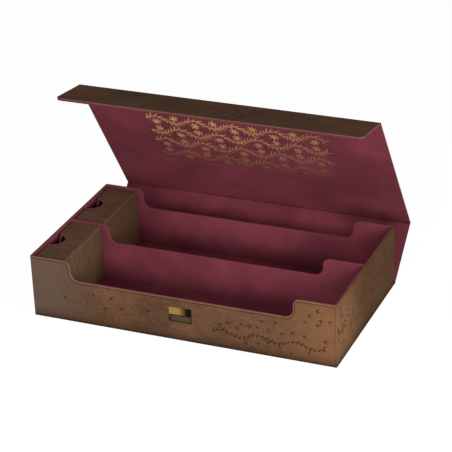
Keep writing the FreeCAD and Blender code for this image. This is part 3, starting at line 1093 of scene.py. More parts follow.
@dataclass
class Divider:
    """Wall between the two lanes, wrapped in lining over its rim.

    Attributes:
        cut: Its cut-out.
        top: Height of its rim.
        rim_r: Rounding of the rim.
    """

    cut: SCurve = SCurve(half=132.5, low=53.8)
    top: float = 76.0
    rim_r: float = 1.1

    def build(self) -> bpy.types.Object:
        """Wrap the divider."""
        reach = INNER_X
        line = [(-reach, self.top, 0.0, -1.0)] + self.cut.line(self.top) + [(reach, self.top, 0.0, -1.0)]
        half = PANEL / 2
        over = [(2.4, -half)] + [(d, a - half) for d, a in rounding(self.rim_r, 0.0, 0.0)]
        over += [(d, -a) for d, a in reversed(over)]
        draft = Draft()
        rows = []
        for depth, y in over:
            places = [Vector((t + mt * depth, y, z + mz * depth)) for t, z, mt, mz in line]
            rows.append(draft.ring(places))
        for a, b in zip(rows, rows[1:]):
            draft.bridge(a, b, closed=False)
        feet = [draft.ring([Vector((x, y, FLOOR_TOP)) for x in (-reach, reach)]) for y in (-half, half)]
        draft.fill(rows[0] + [feet[0][1], feet[0][0]])
        draft.fill(rows[-1] + [feet[1][1], feet[1][0]])
        draft.fill([row[0] for row in rows] + [feet[1][0], feet[0][0]])
        draft.fill([row[-1] for row in rows] + [feet[1][1], feet[0][1]])
        draft.faces.append((feet[0][0], feet[0][1], feet[1][1], feet[1][0]))
        return dress(draft.piece("divider_wrap", FINISHES.lining), "tray", Slot.LINING, "divider_lining")


@dataclass
class Label:
    """Bare brass plate and leather pad in the front wall's window.

    Attributes:
        half: Half of their width.
        floor_y: Y of the window's floor.
        plate: Lowest and highest Z of the plate.
        pad: Lowest and highest Z of the pad.
        bow: How far the plate's left end stands off the floor.
        thick: Thickness of the plate and pad.
    """

    half: float = 13.4
    floor_y: float = 1.4 - HALF_D
    plate: tuple[float, float] = (32.2, 41.2)
    pad: tuple[float, float] = (23.8, 32.0)
    bow: float = 0.8
    thick: float = 0.5

    def build(self) -> None:
        """Build the plate and the pad."""
        draft = Draft()
        low, high = self.plate
        columns = 24
        soft = 0.12
        rings = []
        for k in range(columns + 1):
            share = k / columns
            x = -self.half + 2 * self.half * share
            near = self.floor_y - self.thick - self.bow * (1 - share**2)
            section = [(near + soft, low), (near, low + soft), (near, high - soft), (near + soft, high),
                       (near + self.thick, high), (near + self.thick, low)]
            rings.append(draft.ring([Vector((x, y, z)) for y, z in section]))
        for a, b in zip(rings, rings[1:]):
            draft.bridge(a, b)
        draft.fill(rings[0])
        draft.fill(rings[-1])
        dress(draft.piece("brass_label_plate", FINISHES.brass), "tray", Slot.BRASS, "label_plate")
        outline = Outline.of_box((-self.half, self.pad[0]), (self.half, self.pad[1]), 0.5, 0.5)
        draft = Draft()
        # The pad's edge rows get painted shade, as the shade at the foot of the window's sides.
        rows = [(0.0, 0.0, -0.9), (0.0, -0.15, -0.9), (0.1, -0.32, -0.9), (0.35, -0.45, -0.8),
                (0.8, -self.thick, -0.3), (1.3, -self.thick, 0.0)]
        rings = [draft.ring([Vector((p.x, self.floor_y + out, p.y)) for p in outline.ring(inset, 0.0)], wear_and_painted_light)
                 for inset, out, wear_and_painted_light in rows]
        for a, b in zip(rings, rings[1:]):
            draft.bridge(a, b)
        draft.fill(rings[0])
        draft.fill(rings[-1])
        dress(draft.piece("leather_label_pad", FINISHES.pad), "tray", Slot.LEATHERETTE, "label_pad")


@dataclass
class CoverPanel:
    """One stiff panel of the cover: leatherette outside, lining inside and round its edges.

    Attributes:
        name: Name of the panel's nodes.
        body: Body that it rides on.
        axis: Y and Z of the crease that it turns on.
        angle: Direction of the panel, in degrees from +Y towards +Z.
        near: Distance of its near edge from the crease.
        far: Distance of its far edge.
        far_r: Radius of its far corners.
        outer_r: Rounding of the leather's edge.
        inner_r: Rounding of the lining's edge.
        meet: Height above the mid plane where leather and lining meet on the edge.
    """

    name: str
    body: str
    axis: tuple[float, float]
    angle: float
    near: float
    far: float
    far_r: float = CORNER_R
    outer_r: float = 0.9
    inner_r: float = 0.5
    meet: float = -0.4

    def place(self) -> Matrix:
        """Return the turn and shift from the flat panel to the box."""
        turn = Matrix.Rotation(math.radians(self.angle), 4, "X")
        return Matrix.Translation((0, self.axis[0], self.axis[1])) @ turn

    def _shell(self, rows: list[tuple[float, float, float]]) -> Draft:
        """Join rows of inset, height and wear into a closed shell."""
        outline = Outline.of_box((-HALF_L, self.near), (HALF_L, self.far), CORNER_R, self.far_r)
        draft = Draft()
        rings = [draft.ring(outline.ring(inset, height), wear_and_painted_light) for inset, height, wear_and_painted_light in rows]
        for a, b in zip(rings, rings[1:]):
            draft.bridge(a, b)
        draft.fill(rings[0])
        draft.fill(rings[-1])
        return draft

    def build(self) -> None:
        """Build the leather and the lining."""
        half = PANEL / 2
        # The leather's rounded edge gets a painted highlight.
        leather = [(1.4, -half, 0.0)]
        leather += [(inset, height - half, 0.9) for height, inset in reversed(rounding(self.outer_r, 0.0, 0.0))]
        leather += [(0.0, self.meet, 0.5), (LAYER, self.meet, 0.0), (LAYER, LAYER - half, 0.0)]
        draft = self._shell(leather)
        dress(draft.piece(self.name + "_leather_wrap", FINISHES.outer, self.place()), self.body,
              Slot.LEATHERETTE, self.name + "_skin")
        gap = 0.08
        # The lining's groove and edge get painted shade.
        lining = [(1.45, half, 0.0), (1.2, half - 0.03, -0.5), (0.95, half, 0.0)]
        lining += [(inset, half - height, -0.35 if inset < 0.3 else 0.0)
                   for height, inset in reversed(rounding(self.inner_r, 0.0, gap))]
        lining += [(gap, self.meet + gap, -0.4), (LAYER, self.meet + gap, 0.0), (LAYER, half - LAYER, 0.0)]
        draft = self._shell(lining)
        dress(draft.piece(self.name + "_lining_wrap", FINISHES.lining, self.place()), self.body, Slot.LINING,
              self.name + "_lining")


@dataclass
class Crease:
    """Hinge of the cover: leather bridging two panels outside and lining pressed in between.

    Attributes:
        node: Node of the crease.
        bodies: Bodies before and behind it.
        axis: Y and Z of its line.
        before: Direction of the panel before it, in degrees.
        behind: Direction of the panel behind it.
    """

    node: str
    bodies: tuple[str, str]
    axis: tuple[float, float]
    before: float
    behind: float

    def _point(self, angle: float, along: float, up: float) -> tuple[float, float]:
        """Return Y and Z of a point beside the crease, in a panel's directions."""
        a = math.radians(angle)
        return (self.axis[0] + along * math.cos(a) - up * math.sin(a),
                self.axis[1] + along * math.sin(a) + up * math.cos(a))

    def _strip(self, section: list[tuple[float, float]], wear_and_painted_light: list[float], name: str, finish: Finish,
               slot: Slot) -> bpy.types.Object:
        """Sweep a closed section along the crease, fixed where it lies at rest."""
        draft = Draft()
        ends = HALF_L - 0.1
        stations = 2
        rings = []
        for k in range(stations + 1):
            x = -ends + 2 * ends * k / stations
            ids = draft.ring([Vector((x, y, z)) for y, z in section])
            draft.wear_and_painted_light[ids[0] : ids[-1] + 1] = wear_and_painted_light
            rings.append(ids)
        for a, b in zip(rings, rings[1:]):
            draft.bridge(a, b)
        draft.fill(rings[0])
        draft.fill(rings[-1])
        made = draft.piece(name, finish)
        start = self._point(self.before, -0.9, 0.0)
        end = self._point(self.behind, 0.9, 0.0)
        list(self.bodies)
        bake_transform(made)
        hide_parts(self.node)
        LOG.info("%s bends between %s and %s", name, *self.bodies)
        return made

    def build(self) -> None:
        """Build the outer and the inner strip."""
        half = PANEL / 2
        roll = half - 0.1
        steps = 10
        turn = self.behind - self.before
        tuck = FOLD_CLEAR + 0.5
        outer = [self._point(self.before, -tuck, 0.55 - half), self._point(self.before, -FOLD_CLEAR, 0.25 - half)]
        inner = [self._point(self.before, -tuck, 1.0 - half)]
        for k in range(steps + 1):
            angle = self.before + turn * k / steps
            outer.append(self._point(angle, 0.0, -roll))
            inner.append(self._point(angle, 0.0, LAYER - roll))
        outer += [self._point(self.behind, FOLD_CLEAR, 0.25 - half), self._point(self.behind, tuck, 0.55 - half)]
        inner += [self._point(self.behind, tuck, 1.0 - half)]
        # The rolled fold gets a painted highlight, and the tucks beside it get painted shade.
        wear_and_painted_light = [0.0, -0.6] + [0.8] * (steps + 1) + [-0.6, 0.0] + [0.0] * len(inner)
        self._strip(outer + inner[::-1], wear_and_painted_light, self.node + "_leather", FINISHES.outer, Slot.LEATHERETTE)
        middle = (self.before + self.behind) / 2
        lie = half - 0.15
        top = [self._point(self.before, -tuck, lie - 0.3), self._point(self.before, -FOLD_CLEAR, lie),
               self._point(self.before, -1.3, lie - 0.35), self._point(self.before, -0.6, 0.55),
               self._point(middle, 0.0, 0.35), self._point(self.behind, 0.6, 0.55),
               self._point(self.behind, 1.3, lie - 0.35), self._point(self.behind, FOLD_CLEAR, lie),
               self._point(self.behind, tuck, lie - 0.3)]
        low = [self._point(self.before, -tuck, lie - 0.7), self._point(self.before, -1.5, lie - 0.75),
               self._point(self.before, -0.7, 0.1), self._point(middle, 0.0, -0.1),
               self._point(self.behind, 0.7, 0.1), self._point(self.behind, 1.5, lie - 0.75),
               self._point(self.behind, tuck, lie - 0.7)]
        # The middle of the lining's crease gets painted shade, as the shade deep in the fold.
        wear_and_painted_light = [0.0, 0.0, -0.4, -0.8, -1.0, -0.8, -0.4, 0.0, 0.0] + [0.0] * len(low)
        self._strip(top + low[::-1], wear_and_painted_light, self.node + "_lining", FINISHES.lining, Slot.LINING)


@dataclass
class Cover:
    """Cover strip: base, back, lid and flap panels with their creases.

    Attributes:
        lines: Y and Z of the three creases.
        flap_angle: Direction of the open flap.
    """

    lines: list[tuple[float, float]]
    flap_angle: float = FLAP_ANGLE

    @classmethod
    def from_joints(cls, joints: list[dict]) -> "Cover":
        """Take the creases from the model's joints."""
        found = {j["name"]: j["pos_m"] for j in joints if "pos_m" in j}
        names = ("back_hinge", "lid_hinge", "flap_hinge")
        return cls([(found[n][1] / MM, found[n][2] / MM) for n in names])

    def _angle(self, k: int) -> float:
        """Return the direction from one crease to the next, in degrees."""
        (y0, z0), (y1, z1) = self.lines[k], self.lines[k + 1]
        return math.degrees(math.atan2(z1 - z0, y1 - y0))

    def base(self) -> bpy.types.Object:
        """Wrap the base panel, open at its top where the tray is glued on."""
        outline = Outline.of_box((-HALF_L, -HALF_D), (HALF_L, HALF_D + 0.2), CORNER_R, CORNER_R)
        # The bottom rounding gets painted shade, as the shade along the foot of the box.
        rows = [(1.4, 0.0, 0.0)]
        rows += [(inset, height, -1.0) for height, inset in reversed(rounding(0.8, 0.0, 0.0))]
        rows += [(0.0, 1.2, -0.4), (0.0, BASE_TOP - 0.15, 0.0), (0.12, BASE_TOP, -0.5), (LAYER, BASE_TOP, 0.0),
                 (LAYER, LAYER, 0.0)]
        draft = Draft()
        rings = [draft.ring(outline.ring(inset, height), wear_and_painted_light) for inset, height, wear_and_painted_light in rows]
        for a, b in zip(rings, rings[1:]):
            draft.bridge(a, b)
        draft.fill(rings[0])
        draft.fill(rings[-1])
        return dress(draft.piece("base_leather_wrap", FINISHES.outer), "tray", Slot.LEATHERETTE,
                     "cover_base_skin")

    def panels(self) -> list[CoverPanel]:
        """Return the three moving panels."""
        back_length = math.dist(self.lines[0], self.lines[1])
        lid_length = math.dist(self.lines[1], self.lines[2])
        return [
            CoverPanel("back", "back_panel", self.lines[0], self._angle(0), FOLD_CLEAR, back_length - FOLD_CLEAR),
            CoverPanel("lid", "lid", self.lines[1], self._angle(1), FOLD_CLEAR, lid_length - FOLD_CLEAR),
            CoverPanel("flap", "flap", self.lines[2], self.flap_angle, FOLD_CLEAR, FLAP_REACH, FLAP_CORNER_R),
        ]

    def build(self) -> list[CoverPanel]:
        """Build the panels and creases.

        Returns:
            The lid and the flap, which carry prints.
        """
        self.base()
        panels = self.panels()
        for panel in panels:
            panel.build()
        angles = [0.0] + [panel.angle for panel in panels]
        bodies = ["tray"] + [panel.body for panel in panels]
        nodes = ("base_fold", "back_fold", "flap_fold")
        for k, node in enumerate(nodes):
            Crease(node, (bodies[k], bodies[k + 1]), self.lines[k], angles[k], angles[k + 1]).build()
        return panels[1:]


@dataclass
class AccessoryCase:
    """Lift-out case at the left end of a lane: a lined tub with a hinged lid.

    Attributes:
        name: Name of its nodes and bodies.
        near: Lowest Y.
        far: Highest Y.
        left: Lowest X.
        right: Highest X.
        foot: Lowest Z.
        tub_top: Height of the tub's rim.
        top: Height of the closed lid.
        wall: Thickness of the walls.
        lining: Thickness of the lining.
        lap: How far the lid laps over the tub's left face, into the gap beside it.
    """

    name: str
    near: float
    far: float
    left: float = -178.2
    right: float = -142.0
    foot: float = 5.6
    tub_top: float = 71.6
    top: float = 74.1
    wall: float = 2.4
    lining: float = 0.4
    lap: float = 1.4

    def tub_leather(self) -> bpy.types.Object:
        """Wrap the tub's outer faces and underside in leatherette, up to its rim and thumb notch."""
        ring = WallRing((self.left, self.near), (self.right, self.far), self.tub_top, 1.2,
                        {Side.LEFT: HalfMoon(11.0)})
        rim = ring.points()

        def row(depth: float, across: float) -> Callable[[RimPoint], Vector]:
            return lambda p: p.at(depth, across)

        # The rim's rounding gets a painted highlight, and the joint with the lining gets painted shade.
        rows = [(row(1.8, 0.0), 0.0)] + [(row(d, a), 0.5) for d, a in rounding(0.42, 0.0, 0.0)]
        rows += [(row(0.1, LAYER), -0.4), (row(LAYER, LAYER), 0.0)]
        draft = WallDraft()
        rings = draft.wrap(rim, rows)
        feet = [(a, self.foot + d) for d, a in rounding(0.7, 0.0, 0.0)]
        draft.fill(draft.skirt(rim, rings[0], feet))
        draft.fill(draft.skirt(rim, rings[-1], [(LAYER, self.foot + LAYER)]))
        return dress(draft.piece(self.name + "_tub_wrap", FINISHES.case), self.name, Slot.CASE,
                     self.name + "_skin")

    def tub_lining(self) -> bpy.types.Object:
        """Line the tub's walls and floor, turned over its rim and thumb notch."""
        deep = self.wall
        low = (self.left + deep, self.near + deep)
        high = (self.right - deep, self.far - deep)
        ring = WallRing(low, high, self.tub_top, 0.9, {Side.LEFT: HalfMoon(11.0)}, inner=True)
        rim = ring.points()
        edge = self.wall - LAYER - 0.05

        def row(depth: float, across: float, squared: bool = False) -> Callable[[RimPoint], Vector]:
            def lay(p: RimPoint) -> Vector:
                spot = p.at(depth, 2 * deep if squared and p.side == Side.CORNER else across)
                spot.x = min(max(spot.x, low[0] - across), high[0] + across)
                spot.y = min(max(spot.y, low[1] - across), high[1] + across)
                return spot
            return lay

        # The joint of the lining with the leather on the rim gets painted shade.
        rows = [(row(2.6, 0.0), 0.0)] + [(row(d, a), 0.0) for d, a in rounding(0.7, 0.02, 0.0)]
        rows += [(row(0.02, edge - 0.2, True), 0.0), (row(0.12, edge, True), -0.5),
                 (row(LAYER, edge, True), 0.0), (row(LAYER, self.lining), 0.0)]
        draft = WallDraft()
        rings = draft.wrap(rim, rows)
        floor = self.foot + deep
        feet = [(0.0, floor + 0.8), (-0.25, floor + 0.25), (-0.8, floor)]
        draft.fill(draft.skirt(rim, rings[0], feet))
        draft.fill(draft.skirt(rim, rings[-1], [(self.lining, floor - self.lining)]))
        return dress(draft.piece(self.name + "_tub_lining", FINISHES.lining), self.name, Slot.LINING,
                     self.name + "_lining")

    def lid(self) -> None:
        """Build the lid's leather and lining, with its half-moon."""
        body = self.name + "_lid"
        lid_foot = self.top - self.wall
        end = self.right - self.wall - 0.05
        edge = self.left - self.lap
        outline = Outline.of_box((edge, self.near), (end, self.far), 1.0, 1.0, HalfMoon(13.8))
        # The lid's rounded top edge gets a painted highlight.
        rows = [(0.95, lid_foot, 0.0), (0.3, lid_foot, 0.0), (0.0, lid_foot + 0.3, 0.2), (0.0, self.top - 0.6, 0.3)]
        rows += [(inset, self.top - height, 0.8) for height, inset in rounding(0.6, 0.0, 0.0)]
        rows += [(0.95, self.top, 0.0)]
        draft = Draft()
        rings = [draft.ring(outline.ring(inset, height), wear_and_painted_light) for inset, height, wear_and_painted_light in rows]
        for a, b in zip(rings, rings[1:]):
            draft.bridge(a, b)
        draft.fill(rings[0])
        draft.fill(rings[-1])
        dress(draft.piece(body + "_wrap", FINISHES.case), body, Slot.CASE, body + "_skin")
        draft = Draft()
        sunk = 0.04
        # The lining's groove near the lid's edge gets painted shade.
        rows = [(1.5, lid_foot - sunk, 0.0), (0.8, lid_foot - sunk, 0.0), (0.7, lid_foot + 0.1, -0.5),
                (0.7, lid_foot + self.lining, 0.0)]
        outline = Outline.of_box((edge, self.near), (end, self.far), 1.6, 1.6, HalfMoon(13.8))
        rings = [draft.ring(outline.ring(inset, height), wear_and_painted_light) for inset, height, wear_and_painted_light in rows]
        for a, b in zip(rings, rings[1:]):
            draft.bridge(a, b)
        draft.fill(rings[0])
        draft.fill(rings[-1])
        dress(draft.piece(body + "_nap", FINISHES.lining), body, Slot.LINING, body + "_lining")

    def hinge(self) -> bpy.types.Object:
        """Roll the leather spine along the tub's right rim."""
        half = self.wall / 2
        x, z = self.right - half, self.top - half
        section = [(self.right, self.tub_top + 0.02), (self.right, z)]
        section += [(x + half * math.cos(a), z + half * math.sin(a))
                    for a in (math.pi * k / 12 for k in range(1, 13))]
        section += [(x - half, self.tub_top + 0.02)]
        draft = Draft()
        soft = 0.35
        rings = []
        for y, shrink in ((self.near, soft), (self.near + soft, 0.0), (self.far - soft, 0.0), (self.far, soft)):
            middle = Vector((x, y, z))
            places = [Vector((px, y, pz)) for px, pz in section]
            # The rolled spine gets a painted highlight.
            rings.append(draft.ring([p + (middle - p).normalized() * shrink for p in places], 0.5))
        for a, b in zip(rings, rings[1:]):
            draft.bridge(a, b)
        draft.fill(rings[0])
        draft.fill(rings[-1])
        return dress(draft.piece(self.name + "_spine", FINISHES.case), self.name, Slot.CASE,
                     self.name + "_fold")

    def build(self) -> None:
        """Build the tub, the lid and the spine."""
        self.tub_leather()
        self.tub_lining()
        self.lid()
        self.hinge()


@dataclass(frozen=True)
class LeafTree:
    """Node tree that grows one kind of leafy motif on a flat face, in millimetres.

    Attributes:
        name: Name of the tree.
        inputs: Name and default value of each input.
        thick: Thickness of the print.
    """

    name: str
    inputs: tuple[tuple[str, float], ...]
    thick: float = 0.05

    def _open(self) -> tuple[bpy.types.NodeTree, dict[str, bpy.types.NodeSocket]]:
        """Make the empty tree.

        Returns:
            The tree and its inputs by name.
        """
        tree = bpy.data.node_groups.new(self.name, "GeometryNodeTree")
        tree.interface.new_socket("Geometry", in_out="OUTPUT", socket_type="NodeSocketGeometry")
        tree.interface.new_socket("Material", in_out="INPUT", socket_type="NodeSocketMaterial")
        for name, value in self.inputs:
            kind = "NodeSocketInt" if isinstance(value, int) else "NodeSocketFloat"
            tree.interface.new_socket(name, in_out="INPUT", socket_type=kind).default_value = value
        given = add_node(tree, "NodeGroupInput").outputs
        return tree, {socket.name: socket for socket in given if socket.name}

    def _leaf(self, tree: bpy.types.NodeTree) -> bpy.types.NodeSocket:
        """Draw one leaf, a unit long and a unit wide, from the origin along X.

        Args:
            tree: Node tree that gets the leaf.

        Returns:
            Its mesh.
        """
        line = add_node(tree, "GeometryNodeCurvePrimitiveLine", {"Start": (0, 0, 0), "End": (1, 0, 0)}).outputs[0]
        line = add_node(tree, "GeometryNodeResampleCurve", {"Curve": line, "Count": 8}).outputs[0]
        along = add_node(tree, "GeometryNodeSplineParameter").outputs["Factor"]
        half_turn = add_node(tree, "ShaderNodeMath", {0: along, 1: math.pi}, operation="MULTIPLY").outputs[0]
        bend = add_node(tree, "ShaderNodeMath", {0: half_turn}, operation="SINE").outputs[0]
        shift = add_node(tree, "ShaderNodeCombineXYZ", {1: bend}).outputs[0]
        line = add_node(tree, "GeometryNodeSetPosition", {"Geometry": line, "Offset": shift}).outputs[0]
        line = add_node(tree, "GeometryNodeSetCurveNormal", {0: line}, mode="Z_UP").outputs[0]
        blunt = add_node(tree, "ShaderNodeMath", {0: along, 1: 0.7}, operation="POWER").outputs[0]
        blunt = add_node(tree, "ShaderNodeMath", {0: blunt, 1: math.pi}, operation="MULTIPLY").outputs[0]
        wide = add_node(tree, "ShaderNodeMath", {0: blunt}, operation="SINE").outputs[0]
        wide = add_node(tree, "ShaderNodeMath", {0: wide, 1: 0.06}, operation="MAXIMUM").outputs[0]
        square = add_node(tree, "GeometryNodeCurvePrimitiveQuadrilateral", {"Width": 1.0, "Height": 1.0}).outputs[0]
        return add_node(tree, "GeometryNodeCurveToMesh", {
            "Curve": line, "Profile Curve": square, "Scale": wide, "Fill Caps": True}).outputs[0]

    def _sprig(self, tree: bpy.types.NodeTree, given: dict[str, bpy.types.NodeSocket]) -> bpy.types.NodeSocket:
        """Join three leaves into a sprig, a unit long: one straight, one to each side.

        Args:
            tree: Node tree that gets the sprig.
            given: Inputs of the tree.

        Returns:
            Its mesh.
        """
        slim = add_node(tree, "ShaderNodeMath", {0: given["Width"], 1: given["Length"]}, operation="DIVIDE").outputs[0]
        shape = add_node(tree, "ShaderNodeCombineXYZ", {0: 1.0, 1: slim, 2: 1.0}).outputs[0]
        leaf = add_node(tree, "GeometryNodeTransform", {"Geometry": self._leaf(tree), "Scale": shape}).outputs[0]
        sprig = add_node(tree, "GeometryNodeJoinGeometry")
        for angle, size in ((0.0, 1.0), (0.85, 0.8), (-0.85, 0.8)):
            turned = add_node(tree, "GeometryNodeTransform", {
                "Geometry": leaf, "Rotation": (0, 0, angle), "Scale": (size, size, 1.0)}).outputs[0]
            tree.links.new(turned, sprig.inputs[0])
        return sprig.outputs[0]

    def _size(self, tree: bpy.types.NodeTree, given: dict[str, bpy.types.NodeSocket],
              wide: str = "Width") -> bpy.types.NodeSocket:
        """Return each leaf's size, varied a little; the input named last gives its size across."""
        vary = add_node(tree, "FunctionNodeRandomValue", {2: 0.7, 3: 1.2, "Seed": given["Seed"]},
                        data_type="FLOAT").outputs[1]
        flat = add_node(tree, "ShaderNodeCombineXYZ", {0: given["Length"], 1: given[wide]}).outputs[0]
        flat = add_node(tree, "ShaderNodeVectorMath", {0: flat, "Scale": vary}, operation="SCALE").outputs[0]
        return add_node(tree, "ShaderNodeVectorMath", {0: flat, 1: (0, 0, self.thick)}, operation="ADD").outputs[0]

    def _close(self, tree: bpy.types.NodeTree, made: bpy.types.NodeSocket,
               given: dict[str, bpy.types.NodeSocket]) -> bpy.types.NodeTree:
        """End the tree with real meshes and their material."""
        real = add_node(tree, "GeometryNodeRealizeInstances", {"Geometry": made}).outputs[0]
        dressed = add_node(tree, "GeometryNodeSetMaterial", {
            "Geometry": real, "Material": given["Material"]}).outputs[0]
        add_node(tree, "NodeGroupOutput", {0: dressed})
        return tree

    def make(self) -> bpy.types.NodeTree:
        """Build the tree; each kind has its own way."""
        raise NotImplementedError

    def grow(self, finish: Finish, **values: float) -> bpy.types.Mesh:
        """Grow the motif.

        Args:
            finish: Finish of the print.
            **values: Values of the inputs, with underscores for the spaces in their names.

        Returns:
            The motif's mesh, in millimetres on the XY plane.
        """
        tree = bpy.data.node_groups.get(self.name) or self.make()
        holder = bpy.data.objects.new(self.name, bpy.data.meshes.new(self.name))
        bpy.context.scene.collection.objects.link(holder)
        growth = holder.modifiers.new(self.name, "NODES")
        growth.node_group = tree
        wanted = {name.replace("_", " "): value for name, value in values.items()}
        wanted["Material"] = finish.material()
        for socket in tree.interface.items_tree:
            if socket.name in wanted:
                growth[socket.identifier] = wanted[socket.name]
        mesh = plain_mesh(holder)
        holder.modifiers.clear()
        bpy.data.objects.remove(holder)
        return mesh


@dataclass(frozen=True)
class LeafRing(LeafTree):
    """Leaves side by side round an oval, each pointing outwards with a lean."""

    name: str = "leaf_ring"
    inputs: tuple[tuple[str, float], ...] = (
        ("Count", 24), ("Reach X", 20.0), ("Reach Y", 20.0), ("Length", 8.0), ("Width", 1.0), ("Lean", 0.0),
        ("Seed", 1))

    def make(self) -> bpy.types.NodeTree:
        """Build the ring's tree."""
        tree, given = self._open()
        number = add_node(tree, "GeometryNodeInputIndex").outputs[0]
        share = add_node(tree, "ShaderNodeMath", {0: number, 1: given["Count"]}, operation="DIVIDE").outputs[0]
        angle = add_node(tree, "ShaderNodeMath", {0: share, 1: math.tau}, operation="MULTIPLY").outputs[0]
        cos = add_node(tree, "ShaderNodeMath", {0: angle}, operation="COSINE").outputs[0]
        sin = add_node(tree, "ShaderNodeMath", {0: angle}, operation="SINE").outputs[0]
        x = add_node(tree, "ShaderNodeMath", {0: cos, 1: given["Reach X"]}, operation="MULTIPLY").outputs[0]
        y = add_node(tree, "ShaderNodeMath", {0: sin, 1: given["Reach Y"]}, operation="MULTIPLY").outputs[0]
        spot = add_node(tree, "ShaderNodeCombineXYZ", {0: x, 1: y}).outputs[0]
        points = add_node(tree, "GeometryNodePoints", {"Count": given["Count"], "Position": spot}).outputs[0]
        lean = add_node(tree, "ShaderNodeMath", {0: angle, 1: given["Lean"]}, operation="ADD").outputs[0]
        turn = add_node(tree, "ShaderNodeCombineXYZ", {2: lean}).outputs[0]
        leaves = add_node(tree, "GeometryNodeInstanceOnPoints", {
            "Points": points, "Instance": self._leaf(tree), "Rotation": turn,
            "Scale": self._size(tree, given)}).outputs[0]
        return self._close(tree, leaves, given)


@dataclass(frozen=True)
class LeafDrift(LeafTree):
    """Three-leaved sprigs strewn evenly over a rounded lozenge, turned this way and that."""

    name: str = "leaf_drift"
    inputs: tuple[tuple[str, float], ...] = (
        ("Reach X", 100.0), ("Reach Y", 60.0), ("Hollow", 20.0), ("Spacing", 4.0), ("Length", 9.0), ("Width", 1.0),
        ("Swing", 1.2), ("Seed", 1))

    def make(self) -> bpy.types.NodeTree:
        """Build the drift's tree."""
        tree, given = self._open()
        disc = add_node(tree, "GeometryNodeMeshCircle", {"Vertices": 64, "Radius": 1.0}, fill_type="NGON").outputs[0]
        reach = add_node(tree, "ShaderNodeCombineXYZ", {0: given["Reach X"], 1: given["Reach Y"], 2: 1.0}).outputs[0]
        oval = add_node(tree, "GeometryNodeTransform", {"Geometry": disc, "Scale": reach}).outputs[0]
        area = add_node(tree, "ShaderNodeMath", {0: given["Spacing"], 1: 2.0}, operation="POWER").outputs[0]
        dense = add_node(tree, "ShaderNodeMath", {0: 4.0, 1: area}, operation="DIVIDE").outputs[0]
        points = add_node(tree, "GeometryNodeDistributePointsOnFaces", {
            "Mesh": oval, "Distance Min": given["Spacing"], "Density Max": dense, "Seed": given["Seed"]},
            distribute_method="POISSON").outputs[0]
        here = add_node(tree, "GeometryNodeInputPosition").outputs[0]
        place = add_node(tree, "ShaderNodeSeparateXYZ", {0: here}).outputs
        share = add_node(tree, "ShaderNodeVectorMath", {0: here, 1: reach}, operation="DIVIDE").outputs[0]
        share = add_node(tree, "ShaderNodeVectorMath", {0: share}, operation="ABSOLUTE").outputs[0]
        edge = add_node(tree, "ShaderNodeVectorMath", {0: share, 1: (0.85, 0.85, 0)},
                        operation="DOT_PRODUCT").outputs["Value"]
        inside = add_node(tree, "ShaderNodeMath", {0: edge, 1: 1.0}, operation="LESS_THAN").outputs[0]
        far = add_node(tree, "ShaderNodeVectorMath", {0: here}, operation="LENGTH").outputs["Value"]
        outside = add_node(tree, "ShaderNodeMath", {0: far, 1: given["Hollow"]}, operation="GREATER_THAN").outputs[0]
        kept = add_node(tree, "ShaderNodeMath", {0: inside, 1: outside}, operation="MULTIPLY").outputs[0]
        outwards = add_node(tree, "ShaderNodeMath", {0: place[1], 1: place[0]}, operation="ARCTAN2").outputs[0]
        breeze = add_node(tree, "ShaderNodeTexNoise", {"Vector": here, "Scale": 0.045, "Detail": 1.0}).outputs["Fac"]
        breeze = add_node(tree, "ShaderNodeMath", {0: breeze, 1: 0.5}, operation="SUBTRACT").outputs[0]
        swing = add_node(tree, "ShaderNodeMath", {0: breeze, 1: given["Swing"], 2: outwards},
                         operation="MULTIPLY_ADD").outputs[0]
        turn = add_node(tree, "ShaderNodeCombineXYZ", {2: swing}).outputs[0]
        leaves = add_node(tree, "GeometryNodeInstanceOnPoints", {
            "Points": points, "Selection": kept, "Instance": self._sprig(tree, given), "Rotation": turn,
            "Scale": self._size(tree, given, "Length")}).outputs[0]
        return self._close(tree, leaves, given)


